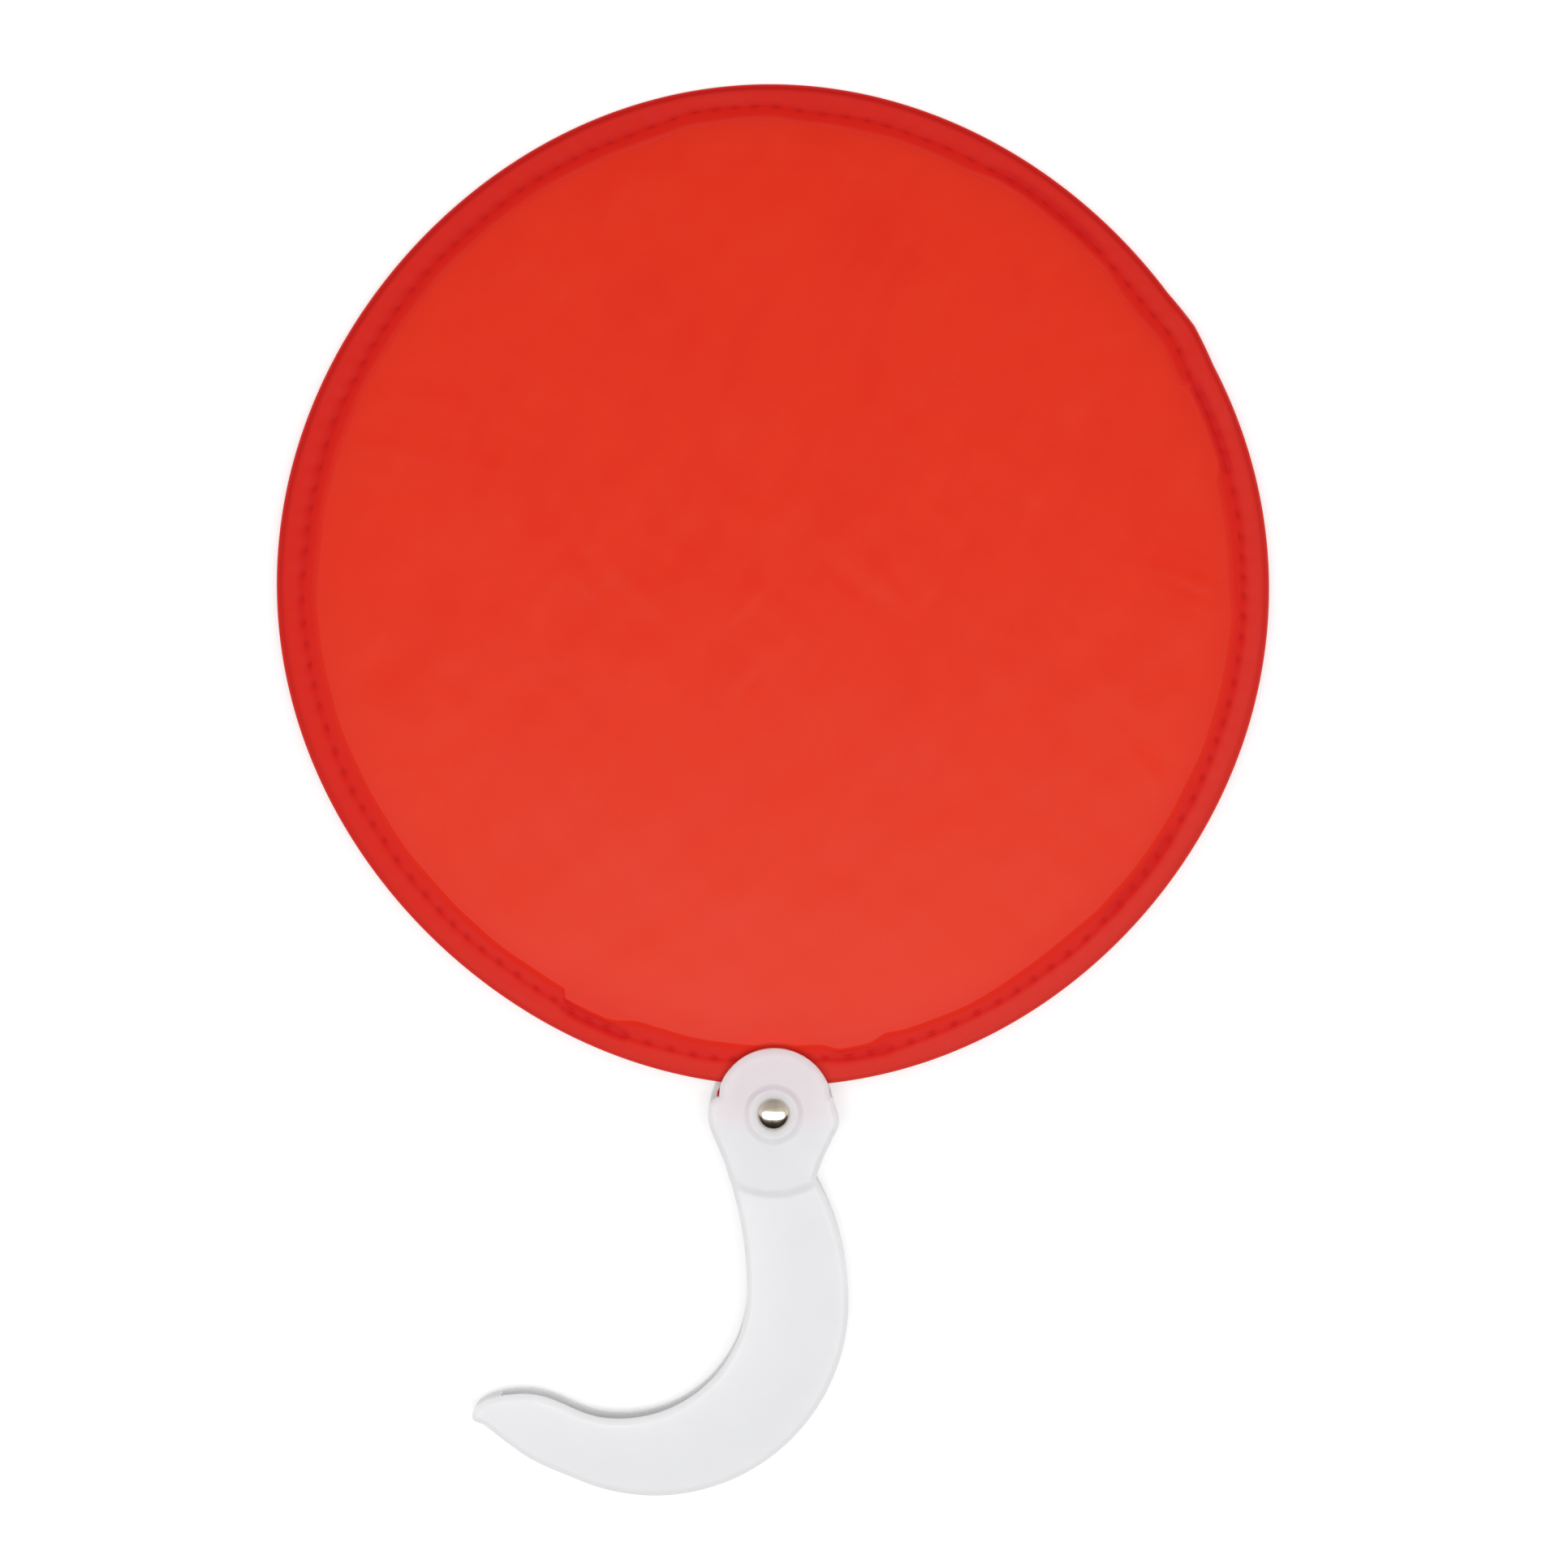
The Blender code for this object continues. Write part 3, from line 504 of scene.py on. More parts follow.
def wrinkles(x, y):
    # sum of long low waves, height * sin(2 pi (x cos a + y sin a) / length + phase + sway)
    height = 0 * x
    swing, reach = panel["sway"]
    for size, length, degrees, phase in panel["waves"]:
        a = math.radians(degrees)
        along = x * math.cos(a) + y * math.sin(a)
        sway = swing * np.sin((x - 2 * y) / reach + phase)
        height = height + size * mm * np.sin(tau * along / (length * mm) + phase + sway)
    return height


def creases(x, y):
    # short soft creases where the cloth was folded, mostly in a band across the middle: each is
    # size * exp(-(across / width)^2 - (along / length)^2) at a place, along a slant
    dice = np.random.default_rng(panel["creaseSeed"])
    height = 0 * x
    for _ in range(panel["creases"]):
        placeX, placeY = (dice.normal(*place) * mm for place in panel["creasePlace"])
        slant = math.radians(dice.choice(panel["creaseSlants"]) + dice.normal(0, panel["creaseSpread"]))
        width, length = (dice.uniform(*panel[key]) * mm for key in ("creaseWidth", "creaseLength"))
        size = dice.choice([-1, 1]) * dice.uniform(*panel["creaseHeight"]) * mm
        along = (x - placeX) * math.cos(slant) + (y - placeY) * math.sin(slant)
        across = (y - placeY) * math.cos(slant) - (x - placeX) * math.sin(slant)
        height = height + size * bump(across, width) * bump(along, length)
    return height


def panelHeight(x, y, degrees, inward):
    # wrinkles, creases and the gathered folds, which are bells across an angle that turns on its way in.
    # All of it fades out under the hem
    height = wrinkles(x, y) + creases(x, y)
    along = (inward - panel["fadeEnd"]) / mm
    for angle, turn, width, reach, size in panel["gathers"]:
        fold = bump(wrapped(degrees - angle - turn * along), width) * bump(along, reach)
        height = height + size * mm * fold * eased(along / panel["gatherStart"])
    return height * eased((inward - panel["fadeEnd"]) / (panel["fadeStart"] - panel["fadeEnd"]))


def makePanel():
    # a polar grid, finer towards the hem, as an upper and a lower layer joined at the rim
    share = np.linspace(0, 1, panel["rings"]) ** panel["ringPower"]
    degrees = np.linspace(0, 360, panel["spokes"] + 1)
    share, degrees = np.meshgrid(share, degrees, indexing="ij")
    radius = (hemEdge(degrees) - panel["edgeInward"]) * share
    inward = hemEdge(degrees) - radius
    x = radius * np.cos(np.radians(degrees))
    y = radius * np.sin(np.radians(degrees))
    middle = panelHeight(x, y, degrees, inward)
    uv = np.stack([x, y], axis=-1)
    layers = [placed(x, discRise + y, middle + side * panel["thickness"] / 2) for side in (1, -1)]
    rim = np.stack([layers[0][-1], layers[1][-1]], axis=0)
    # painted shade along the hem, deepest beside it: shade * exp(-depth past the hem / reach)
    rimward = panel["shade"] * np.exp(-np.maximum(inward - panel["shadeStart"], 0) / panel["shadeReach"])
    parts = [gridPart(layer, uv, dict(rimward=rimward)) for layer in layers]
    parts.append(gridPart(rim, None, dict(rimward=np.ones(rim.shape[:2]))))
    piece = makePiece("panel_cloth", parts, makeFieldFinish())
    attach(piece, "disc")
    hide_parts("fabric_panel")


# Hem: tape folded over the hoop and stitched through, with a lap where its two ends meet
hem = dict(
    width=9.9 * mm, tape=0.3 * mm, layerGap=0.105 * mm, flatHeight=0.47 * mm, flat=(778 * mm, 22.4 * mm),
    tuck=1.5 * mm, feather=0.03 * mm, tentPower=1.15, pillowSlope=2.2, bandShift=0.3 * mm,
    insideFrom=0.05 * mm, insideTo=0.8 * mm, boreOpening=48,
    stitches=136, stationsPerStitch=10, stitchInward=6.35 * mm, stitchDepth=0.06 * mm,
    dimple=0.16 * mm, dimpleShare=0.19, dimpleHalf=0.62 * mm,
    # height, distance from its line and width of the puffs between stitches, the roll along the folded edge
    # and the slack in the casing
    puff=(0.05 * mm, 1.6 * mm, 1.4 * mm), roll=(0.03 * mm, 0.7 * mm, 0.6 * mm),
    slack=(0.035 * mm, 3.6 * mm, 1.8 * mm),
    lap=(225.0, 243.2, 3.0, 0.7, 0.14 * mm), lapFrom=1.5 * mm,  # the same, with its rise last
    # where the sewing pulled the inner edge out or let it in: start, end, ramp at start, ramp at end, mm
    pulls=((14, 26, 3.0, 0.8, -1.7), (42, 63, 4.0, 4.0, -1.1), (88, 102, 5.0, 5.0, -0.8),
           (104, 178, 9.0, 9.0, 0.5), (243, 251, 0.8, 4.5, -2.1), (277, 283, 3.0, 3.0, -1.6),
           (285, 301, 3.0, 6.0, -0.5), (313, 357, 5.0, 5.0, -0.7)),
    # the same for the line of stitches
    drifts=((45, 62, 6.0, 6.0, -0.6), (88, 102, 6.0, 6.0, -1.0), (108, 178, 8.0, 8.0, 0.4),
            (244, 264, 3.0, 8.0, -0.7), (278, 286, 5.0, 5.0, -0.6)),
    # stretches where the pressed zone is wide and darkened with painted shade: the same, with its strength last
    dark=((14, 25.5, 1.5, 1.5, 0.9), (46, 62, 4.0, 4.0, 0.75), (108, 178, 10.0, 10.0, 0.3),
          (243.2, 252, 0.8, 0.8, 1.0), (277, 284, 1.5, 1.5, 0.7), (315, 328, 3.0, 3.0, 0.7)),
    # unevenness: height, count and start of each wave
    widthWaves=((0.08 * mm, 23, 0), (0.06 * mm, 41, 60)), lineWaves=((0.1 * mm, 17, 40), (0.07 * mm, 31, 0)),
    pitchWaves=((0.28, 3, 20), (0.12, 19, 0)), slackWaves=((20, 5, 0), (1, 29, 0)), slackCount=47,
    # columns across the tape: from the folded edge, over the flat band, through the stitches and up the casing
    columns=((0.0, 0.12, 0.35, 0.7, 1.1), (0.75, 0.5, 0.25), (0.45, 0.2, 0.0, -0.2, -0.45, -0.9),
             (0.82, 0.62, 0.42, 0.22, 0.0)),
)
hemTint = dict(
    # painted shade at the stitches: the groove's width and depth, and the darkening in each dimple
    grooveWidth=0.8 * mm, groove=0.28, pinch=0.9,
    wide=0.8, wideFrom=(1.9 * mm, 0.9 * mm), wideTo=(2.2 * mm, 1.1 * mm),  # distance from the line, ramp
    # the casing's paleness is a painted sheen, palest on the handle's right
    casingFrom=(0.4 * mm, 1.2 * mm), casing=(0.46, 0.40, 0.12, 300),  # mean, two waves, palest angle
    # painted shade along the outer rim: where it lies, its width, and its depth round the hem
    rimPlace=1.3 * mm, rimWidth=0.6 * mm, rim=(0.7, 0.4, 100), fade=0.8, fadeReach=1.5 * mm,
)


def stretch(degrees, start, end, rampStart, rampEnd, change):
    # a change between two angles, eased to nothing over a ramp at each end
    away = wrapped(degrees - (start + end) / 2)
    half = (end - start) / 2
    rise, fall = ((half + ramp / 2 + side * away) / ramp for side, ramp in ((1, rampStart), (-1, rampEnd)))
    return change * (eased(rise) * eased(fall))


def stretches(degrees, table):
    return sum(stretch(degrees, *row) for row in table)


def hemWidth(degrees):
    return hem["width"] + stretches(degrees, hem["pulls"]) * mm + ripple(degrees, hem["widthWaves"])


def stitchLine(degrees):
    return hem["stitchInward"] + stretches(degrees, hem["drifts"]) * mm + ripple(degrees, hem["lineWaves"])


def stitchPhase(degrees):
    # stitches counted along the hem, with a slow drift in their pitch
    return degrees * hem["stitches"] / 360 + ripple(degrees, hem["pitchWaves"])


def stitchDimple(degrees, off):
    # 1 at the middle of each stitch: a bell along the hem times a bell across the line
    return bump(stitchPhase(degrees) % 1 - 0.5, hem["dimpleShare"]) * bump(off, hem["dimpleHalf"])


def hemTop(degrees, inward):
    # height of the tape's outside over the disc's middle: a tent low + (bead - low) (1 - fall)^power down to
    # the stitched line, a dimple under each stitch, a low pillow beyond and a roll along the folded edge
    bead, line, width = beadAt(degrees), stitchLine(degrees), hemWidth(degrees)
    low = hem["flatHeight"] - hem["stitchDepth"]
    fall = np.clip((inward - bead) / (line - bead), 0, 1)
    tent = low + (bead - low) * (1 - fall) ** hem["tentPower"]
    circle = np.sqrt(np.maximum(bead ** 2 - (inward - bead) ** 2, 0))
    beyond = np.clip((inward - line) / (width - line), 0, 1)
    pillow = low + (hem["flatHeight"] - low) * eased(beyond * hem["pillowSlope"])
    height = np.where(inward < line, np.maximum(tent, circle), pillow)
    height = height - hem["dimple"] * stitchDimple(degrees, inward - line)
    rise, off, reach = hem["puff"]
    height = height + rise * (np.cos(tau * stitchPhase(degrees)) * bump(inward - line + off, reach))
    rise, off, reach = hem["roll"]
    height = height + rise * bump(inward - width + off, reach)
    height = height + stretch(degrees, *hem["lap"]) * eased((inward - hem["lapFrom"]) / hem["lapFrom"])
    # slack in the casing: short low waves along the hem
    rise, off, reach = hem["slack"]
    wander, plain = ([wave] for wave in hem["slackWaves"])
    waves = np.sin(np.radians(degrees * hem["slackCount"] + ripple(degrees, wander))) + ripple(degrees, plain)
    return height + rise * waves * bump(inward - off, reach)


def hemMarks(degrees, inward):
    # 0 to 1 shares for the tape's colour: painted shade at the stitches, a painted sheen on the casing, painted
    # shade along the outer rim and the fade at the folded edge
    look = hemTint
    line, width = stitchLine(degrees), hemWidth(degrees)
    zone = np.clip(stretches(degrees, hem["dark"]), 0, 1)
    groove = bump(inward - line, look["grooveWidth"])
    (fromLine, fromRamp), (toLine, toRamp) = look["wideFrom"], look["wideTo"]
    wide = zone * eased((inward - line + fromLine) / fromRamp) * eased((line + toLine - inward) / toRamp)
    # painted shade: darker in each stitch's dimple, along the groove and over the wide stretches
    pinch = look["pinch"] * stitchDimple(degrees, inward - line) * (1 - 0.5 * zone)
    pinch = pinch + look["groove"] * groove * (1 - zone) + look["wide"] * wide
    # the casing's painted sheen is palest on the handle's right, and the rim's painted shade deeper on the far
    # side
    base, once, twice, paleAt = look["casing"]
    turn = np.radians(degrees - paleAt)
    casingLine, casingRamp = look["casingFrom"]
    casing = (base + once * np.cos(turn) + twice * np.cos(2 * turn)) * (1 - wide)
    casing = casing * eased((line - casingLine - inward) / casingRamp)
    # painted shade along the outer rim, deepest on the far side
    base, once, deepAt = look["rim"]
    rim = base + once * np.cos(np.radians(degrees - deepAt))
    rim = rim * bump(inward - look["rimPlace"], look["rimWidth"])
    fade = look["fade"] * (1 - eased((width - inward) / look["fadeReach"]))
    return dict(pinch=pinch, casing=casing, rim=rim, fade=fade)


def makeHem():
    # a section across the folded tape, carried round the disc
    degrees = np.linspace(0, 360, hem["stitches"] * hem["stationsPerStitch"] + 1)[:, None]
    line, width, bead = stitchLine(degrees), hemWidth(degrees), beadAt(degrees)
    edge, band, groove, tent = (np.array(column) for column in hem["columns"])
    # distances inside the edge, from the folded edge to the bead's crest
    inward = np.hstack([width - edge * mm, line + (width - edge[-1] * mm - line) * band + hem["bandShift"],
                        line + groove * mm, bead + (line + groove[-1] * mm - bead) * tent])
    top = hemTop(degrees + 0 * inward, inward)
    # the folded edge thins to a feather: the height over it grows as sin(pi / 2 * distance / tuck)
    tuck = np.clip((width - inward) / hem["tuck"], 0, 1)
    edgeHeight = hem["layerGap"] + hem["feather"]
    top = edgeHeight + (top - edgeHeight) * np.sin(math.pi / 2 * tuck)
    turn = np.radians(np.linspace(90, 270, 11)[1:-1])
    outsideInward = np.hstack([inward, bead + bead * np.cos(turn), inward[:, ::-1]])
    outsideHeight = np.hstack([top, bead * np.sin(turn), -top[:, ::-1]])
    # the tape's inside: level over the panel as far as the stitches, then opening round the wire
    turn = np.radians(np.linspace(hem["boreOpening"], 360 - hem["boreOpening"], 9))
    bore = bead - hem["tape"]
    flat = np.hstack([width - hem["insideFrom"], line - hem["insideTo"]])
    level = hem["layerGap"] + 0 * flat
    insideInward = np.hstack([flat, bead + bore * np.cos(turn), flat[:, ::-1]])
    insideHeight = np.hstack([level, bore * np.sin(turn), -level])
    allInward = np.hstack([outsideInward, insideInward[:, ::-1], outsideInward[:, :1]])
    allHeight = np.hstack([outsideHeight, insideHeight[:, ::-1], outsideHeight[:, :1]])
    spread = degrees + 0 * allInward
    points = onDisc(spread, allInward, allHeight)
    # the underside's weave is moved aside, so that both faces differ
    uv = np.stack([np.radians(spread) * disc["radius"], allInward + 0.02 * (allHeight < 0)], axis=-1)
    piece = makePiece("hem_tape", [gridPart(points, uv, hemMarks(spread, allInward))], makeTapeFinish())
    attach(piece, "disc")
    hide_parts("hem_binding")


thread = dict(radius=0.13 * mm, tip=0.001, steps=8, sides=7, lift=0.06 * mm, sink=0.2 * mm,
              start=0.29, end=0.71, twists=9)


def makeStitches():
    # each stitch is a short tube along its dimple: it rises as lift * sin(pi s)^0.5 and dives at its ends
    fine = np.linspace(-5, 365, 7401)
    number = np.arange(hem["stitches"]) + math.ceil(stitchPhase(0.0))
    phase = stitchPhase(fine)
    starts, ends = (np.interp(number + thread[key], phase, fine)[:, None] for key in ("start", "end"))
    s = np.linspace(0, 1, thread["steps"] + 1)
    arch = np.sin(math.pi * s) ** 0.5
    around = np.linspace(0, tau, thread["sides"] + 1)
    thick = thread["radius"] * np.concatenate([[thread["tip"]], np.ones(thread["steps"] - 1), [thread["tip"]]])
    degrees = starts + (ends - starts) * s
    line = stitchLine(degrees)
    middle = hemTop(degrees, line) - thread["sink"] * (1 - arch) + thread["lift"] * arch
    inward = line[:, :, None] + thick[None, :, None] * np.cos(around)
    uv = np.stack(np.broadcast_arrays(s[None, :, None] * thread["twists"], around / tau + 0 * inward), axis=-1)
    parts = []
    for side in (1, -1):
        level = side * middle[:, :, None] + thick[None, :, None] * np.sin(around)
        points = onDisc(degrees[:, :, None] + 0 * inward, inward, level)
        parts += [gridPart(tube, tubeUv) for tube, tubeUv in zip(points, uv)]
    piece = makePiece("hem_stitches", parts, makeThreadFinish(), merge=1e-6)
    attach(piece, "disc")


# Tab: two leaves of tape over the hem that join in a tongue with a hole for the rivet
tab = dict(hole=2.35 * mm, endRadius=6.8 * mm, shoulder=(14 * mm, 3.5 * mm), sideTop=5.3 * mm, topHalf=7 * mm,
           cover=7 * mm, leaf=0.35 * mm, bore=1.65 * mm, tongueHalf=0.45 * mm, flatOuter=1.15 * mm,
           gap=0.04 * mm, open=2.4 * mm, rings=56, spokes=144, flat=(28 * mm, 42 * mm))


def tabReach(angle):
    # distance from the rivet to the tab's outline in a direction: the outline is a round end, two
    # straight sides to the shoulders, and sides drawn in to a square top
    shoulder = np.array(tab["shoulder"])
    touch = math.atan2(shoulder[1], shoulder[0]) - math.acos(tab["endRadius"] / math.hypot(*shoulder))
    top = disc["hemToRivet"] + tab["cover"] + tab["leaf"]
    corners = np.array([[tab["endRadius"] * math.cos(touch), tab["endRadius"] * math.sin(touch)], shoulder,
                        [shoulder[0], tab["sideTop"]], [tab["topHalf"], top], [0, top]])
    folded = np.pi / 2 - np.abs((angle - np.pi / 2 + np.pi) % tau - np.pi)  # right half, -90 to 90
    c, s = np.cos(folded), np.sin(folded)
    reach = np.full(angle.shape, tab["endRadius"])
    for start, end in zip(corners, corners[1:]):
        edge = end - start
        cross = c * edge[1] - s * edge[0]
        hit = (start[0] * edge[1] - start[1] * edge[0]) / np.where(np.abs(cross) < 1e-9, 1e-9, cross)
        first, last = (math.atan2(point[1], point[0]) for point in (start, end))
        reach = np.where((folded >= first - 1e-9) & (folded <= last + 1e-9), hit, reach)
    return reach


def tabHeights(inward):
    # outside and inside heights of the upper leaf: level on the tongue, round over the bead, level on the hem
    past = eased((inward - disc["beadRadius"]) / tab["open"])
    heights = []
    for radius, low, high in ((tab["bore"] + tab["leaf"], tab["tongueHalf"], tab["flatOuter"]),
                              (tab["bore"], tab["gap"], tab["flatOuter"] - tab["leaf"])):
        bead = np.sqrt(np.maximum(radius ** 2 - (inward - disc["beadRadius"]) ** 2, 0))
        heights.append(np.maximum(bead, low + (high - low) * past))
    return heights


def makeTab():
    # a polar grid from the rivet's hole to the outline, once over and once under the hem
    angle = np.linspace(0, tau, tab["spokes"] + 1)
    share = np.linspace(0, 1, tab["rings"])[:, None]
    radius = tab["hole"] + (tabReach(angle) - tab["hole"]) * share
    x = radius * np.cos(angle)
    y = radius * np.sin(angle)
    degrees = np.degrees(np.arctan2(y - discRise, x))
    inward = hemEdge(degrees) - np.hypot(x, y - discRise)
    outside, inside = tabHeights(inward)
    parts = []
    for side in (1, -1):
        upper = placed(x, y, side * outside)
        lower = placed(x, y, side * inside)
        walls = [np.stack([upper[row], lower[row]], axis=0) for row in (0, -1)]
        parts += [gridPart(grid) for grid in [upper, lower] + walls]
    piece = makePiece("tab_cloth", parts, makeTabFinish(), sharp=50)
    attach(piece, "disc")
    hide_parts("hem_tab")


# Rivet and washer, turned about the rivet's axis. Heights are over the floor
rivet = dict(head=3.9 * mm, rim=0.25 * mm, rimLow=8.0 * mm, dome=1.1 * mm, shank=2.0 * mm, clinch=3.1 * mm,
             clinchLow=0.25 * mm, clinchHigh=0.8 * mm, pit=1.2 * mm, pitDepth=2.5 * mm, round=0.25 * mm,
             finish="rivetPlate", colour=(0.64, 0.56, 0.46), roughness=0.17, grain=1200)
washer = dict(bore=2.3 * mm, outer=3.6 * mm, low=1.1 * mm, high=1.6 * mm, round=0.12 * mm,
              finish="washerZinc", colour=(0.6, 0.6, 0.61), roughness=0.3, grain=2400)


def roundCorner(corner, before, after, radius, steps=5):
    # a quarter-like turn between two directions, as a quadratic curve through the corner's two tangent points
    start = corner + (before - corner) / np.linalg.norm(before - corner) * radius
    end = corner + (after - corner) / np.linalg.norm(after - corner) * radius
    t = np.linspace(0, 1, steps)[:, None]
    return start * (1 - t) ** 2 + corner * 2 * t * (1 - t) + end * t ** 2


def roundProfile(corners, radius):
    # a line through corners given as radius and height, each inner corner rounded
    corners = [np.array(corner, float) for corner in corners]
    line = [corners[0][None]]
    for before, corner, after in zip(corners, corners[1:], corners[2:]):
        most = 0.45 * min(np.linalg.norm(before - corner), np.linalg.norm(after - corner))
        line.append(roundCorner(corner, before, after, min(radius, most)))
    return np.concatenate(line + [corners[-1][None]])


def makeRivet():
    # the head is a quarter ellipse, and the rest a rounded line from the pit round the clinch to the head
    r = rivet
    share = np.linspace(0, math.pi / 2, 26)
    rimHigh = r["rimLow"] + r["rim"]
    dome = np.stack([r["head"] * np.cos(share), rimHigh + r["dome"] * np.sin(share)], axis=-1)
    dome[-1, 0] = 0
    below = roundProfile([(0, r["pitDepth"]), (r["pit"], r["pitDepth"] - r["pit"] / 2),
                          (r["pit"], r["clinchLow"]), (r["clinch"], r["clinchLow"]),
                          (r["clinch"], r["clinchHigh"]), (r["shank"], r["clinchHigh"]),
                          (r["shank"], r["rimLow"]), (r["head"], r["rimLow"]), dome[0]], r["round"])
    profile = np.concatenate([below[:-1], dome])
    piece = makePiece("rivet_turned", [turned(profile)], makeMetalFinish(rivet), sharp=40)
    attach(piece, "handle")
    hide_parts("rivet")


def makeWasher():
    low, high, bore, outer = (washer[key] for key in ("low", "high", "bore", "outer"))
    middle = (bore, (low + high) / 2)
    ring = roundProfile([middle, (bore, low), (outer, low), (outer, high), (bore, high), middle],
                        washer["round"])
    piece = makePiece("washer_turned", [turned(ring)], makeMetalFinish(washer), sharp=40)
    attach(piece, "handle")
    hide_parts("rivet_washer")


# Handle: two moulded shells. Outlines are in the rivet's frame, heights are over the floor
handle = dict(
    hookRadius=48.0 * mm, hookSide=18.6 * mm, hookDrop=46.6 * mm,
    bayRadius=31.8 * mm, baySide=-6.5 * mm, bayDrop=43.9 * mm,
    stemOuter=62.4 * mm, stemInner=91.4 * mm, neckDrop=15.9 * mm,
    tipAngle=-148.3, tipReach=5.3 * mm, humpAngle=-144.7, humpInset=8.3 * mm,
    undersideAngle=-112.3, bayEndAngle=-96.0, humpPull=0.38, tipPull=(0.75, 0.37), nosePull=2.3 * mm,
    heel=(3.3 * mm, -2.7 * mm), heelAngle=-38.0, heelPull=15 * mm, undersidePull=14 * mm,
    frontCheek=(0.2 * mm, 1.9 * mm, 14.4 * mm), rearCheek=(-0.5 * mm, 0.0, 15.65 * mm),  # x, y, radius
    shoulder=(16.3 * mm, -2.2 * mm), shoulderTop=10.0, shoulderPull=1.4 * mm,
    notches=(-13.5 * mm, 14.1 * mm), notchRise=4.3 * mm, notchAngle=22.0, notchPull=1.0 * mm, flankAngle=6.0,
    cornerAngle=-8.0, cheekPull=2.5 * mm, neckPull=(1.9 * mm, 7.0 * mm),
    plate=1.6 * mm, slotTop=6.6 * mm, front=8.2 * mm, pad=8.8 * mm, padRadius=19.6 * mm, padFade=2.2 * mm,
    edge=1.5 * mm, edgeDrop=0.8 * mm, wall=2.0 * mm, lip=0.8 * mm, lipHeight=1.0 * mm, gap=0.3 * mm,
    tipSolid=7.0 * mm, boss=5.2 * mm, bossClear=0.75 * mm, bore=2.3 * mm,
    counterbore=3.9 * mm, counterboreTop=1.9 * mm, headSeat=4.1 * mm, seatRound=0.3 * mm,
    recess=(5.9 * mm, 7.9 * mm, 0.48 * mm), dish=(5.6 * mm, 0.82 * mm),  # radii, then depth
    seatBelow=0.2 * mm, seatPast=0.02 * mm, slotNear=0.01 * mm,
    step=0.55 * mm, arcStep=1.5, leastSteps=15, edgeSteps=8, plateSteps=30, sharp=32, sliver=0.001 * mm,
    blush=(1.0, 0.3),  # how much of the tab's red shows through the front and the rear shell
)


def polar(degrees):
    # unit vectors (cos a, sin a)
    angle = np.radians(degrees)
    return np.stack([np.cos(angle), np.sin(angle)], axis=-1)


def arcLine(center, radius, start, end):
    # points on a circle from one angle to another: center + radius (cos a, sin a)
    angles = np.linspace(start, end, max(3, math.ceil(abs(end - start) / handle["arcStep"]) + 1))
    return np.asarray(center) + radius * polar(angles)


def bendLine(start, pullStart, pullEnd, end, steps=24):
    # cubic curve through two ends with two pulls: the four points weighted by 1, 3, 3, 1
    t = np.linspace(0, 1, steps + 1)[:, None]
    s = 1 - t
    start, pullStart, pullEnd, end = (np.asarray(point, float) for point in (start, pullStart, pullEnd, end))
    return start * s ** 3 + pullStart * 3 * s * s * t + pullEnd * 3 * s * t * t + end * t ** 3


def joined(*lines):
    # lines that meet end to end, each shared point kept once
    return np.concatenate([lines[0]] + [line[1:] for line in lines[1:]])


def handleLines():
    # the grip's two sides from the neck to the tip: inner (stem, bay, hump) and outer (stem, hook, underside)
    h = handle
    hook, stemOut = (np.array([h["hookSide"] - h[key], -h["hookDrop"]]) for key in ("hookRadius", "stemOuter"))
    bay, stemIn = (np.array([h["baySide"] - h[key], -h["bayDrop"]]) for key in ("bayRadius", "stemInner"))
    riseIn = math.degrees(math.asin((h["bayDrop"] - h["neckDrop"]) / h["stemInner"]))
    riseOut = math.degrees(math.asin((h["hookDrop"] - h["neckDrop"]) / h["stemOuter"]))
    tip = hook + polar(h["tipAngle"]) * (h["hookRadius"] + h["tipReach"])
    hump = hook + polar(h["humpAngle"]) * (h["hookRadius"] - h["humpInset"])
    heel = tip + np.array(h["heel"])
    low = hook + polar(h["undersideAngle"]) * h["hookRadius"]
    bayEnd = bay + polar(h["bayEndAngle"]) * h["bayRadius"]
    swing = (bayEnd[0] - hump[0]) * h["humpPull"]
    along, down = h["tipPull"]
    inner = [arcLine(stemIn, h["stemInner"], riseIn, 0), arcLine(bay, h["bayRadius"], 0, h["bayEndAngle"]),
             bendLine(bayEnd, bayEnd - polar(h["bayEndAngle"] + 90) * swing, hump + (swing, 0), hump),
             bendLine(hump, hump + ((tip[0] - hump[0]) * along, 0), tip + (0, (hump[1] - tip[1]) * down), tip)]
    underside = bendLine(heel, heel + polar(h["heelAngle"]) * h["heelPull"],
                         low - polar(h["undersideAngle"] + 90) * h["undersidePull"], low)
    nose = bendLine(tip, tip - (0, h["nosePull"]), heel - polar(h["heelAngle"]) * h["nosePull"], heel)
    outer = [arcLine(stemOut, h["stemOuter"], riseOut, 0),
             arcLine(hook, h["hookRadius"], 0, h["undersideAngle"]), underside[::-1], nose[::-1]]
    return inner, outer


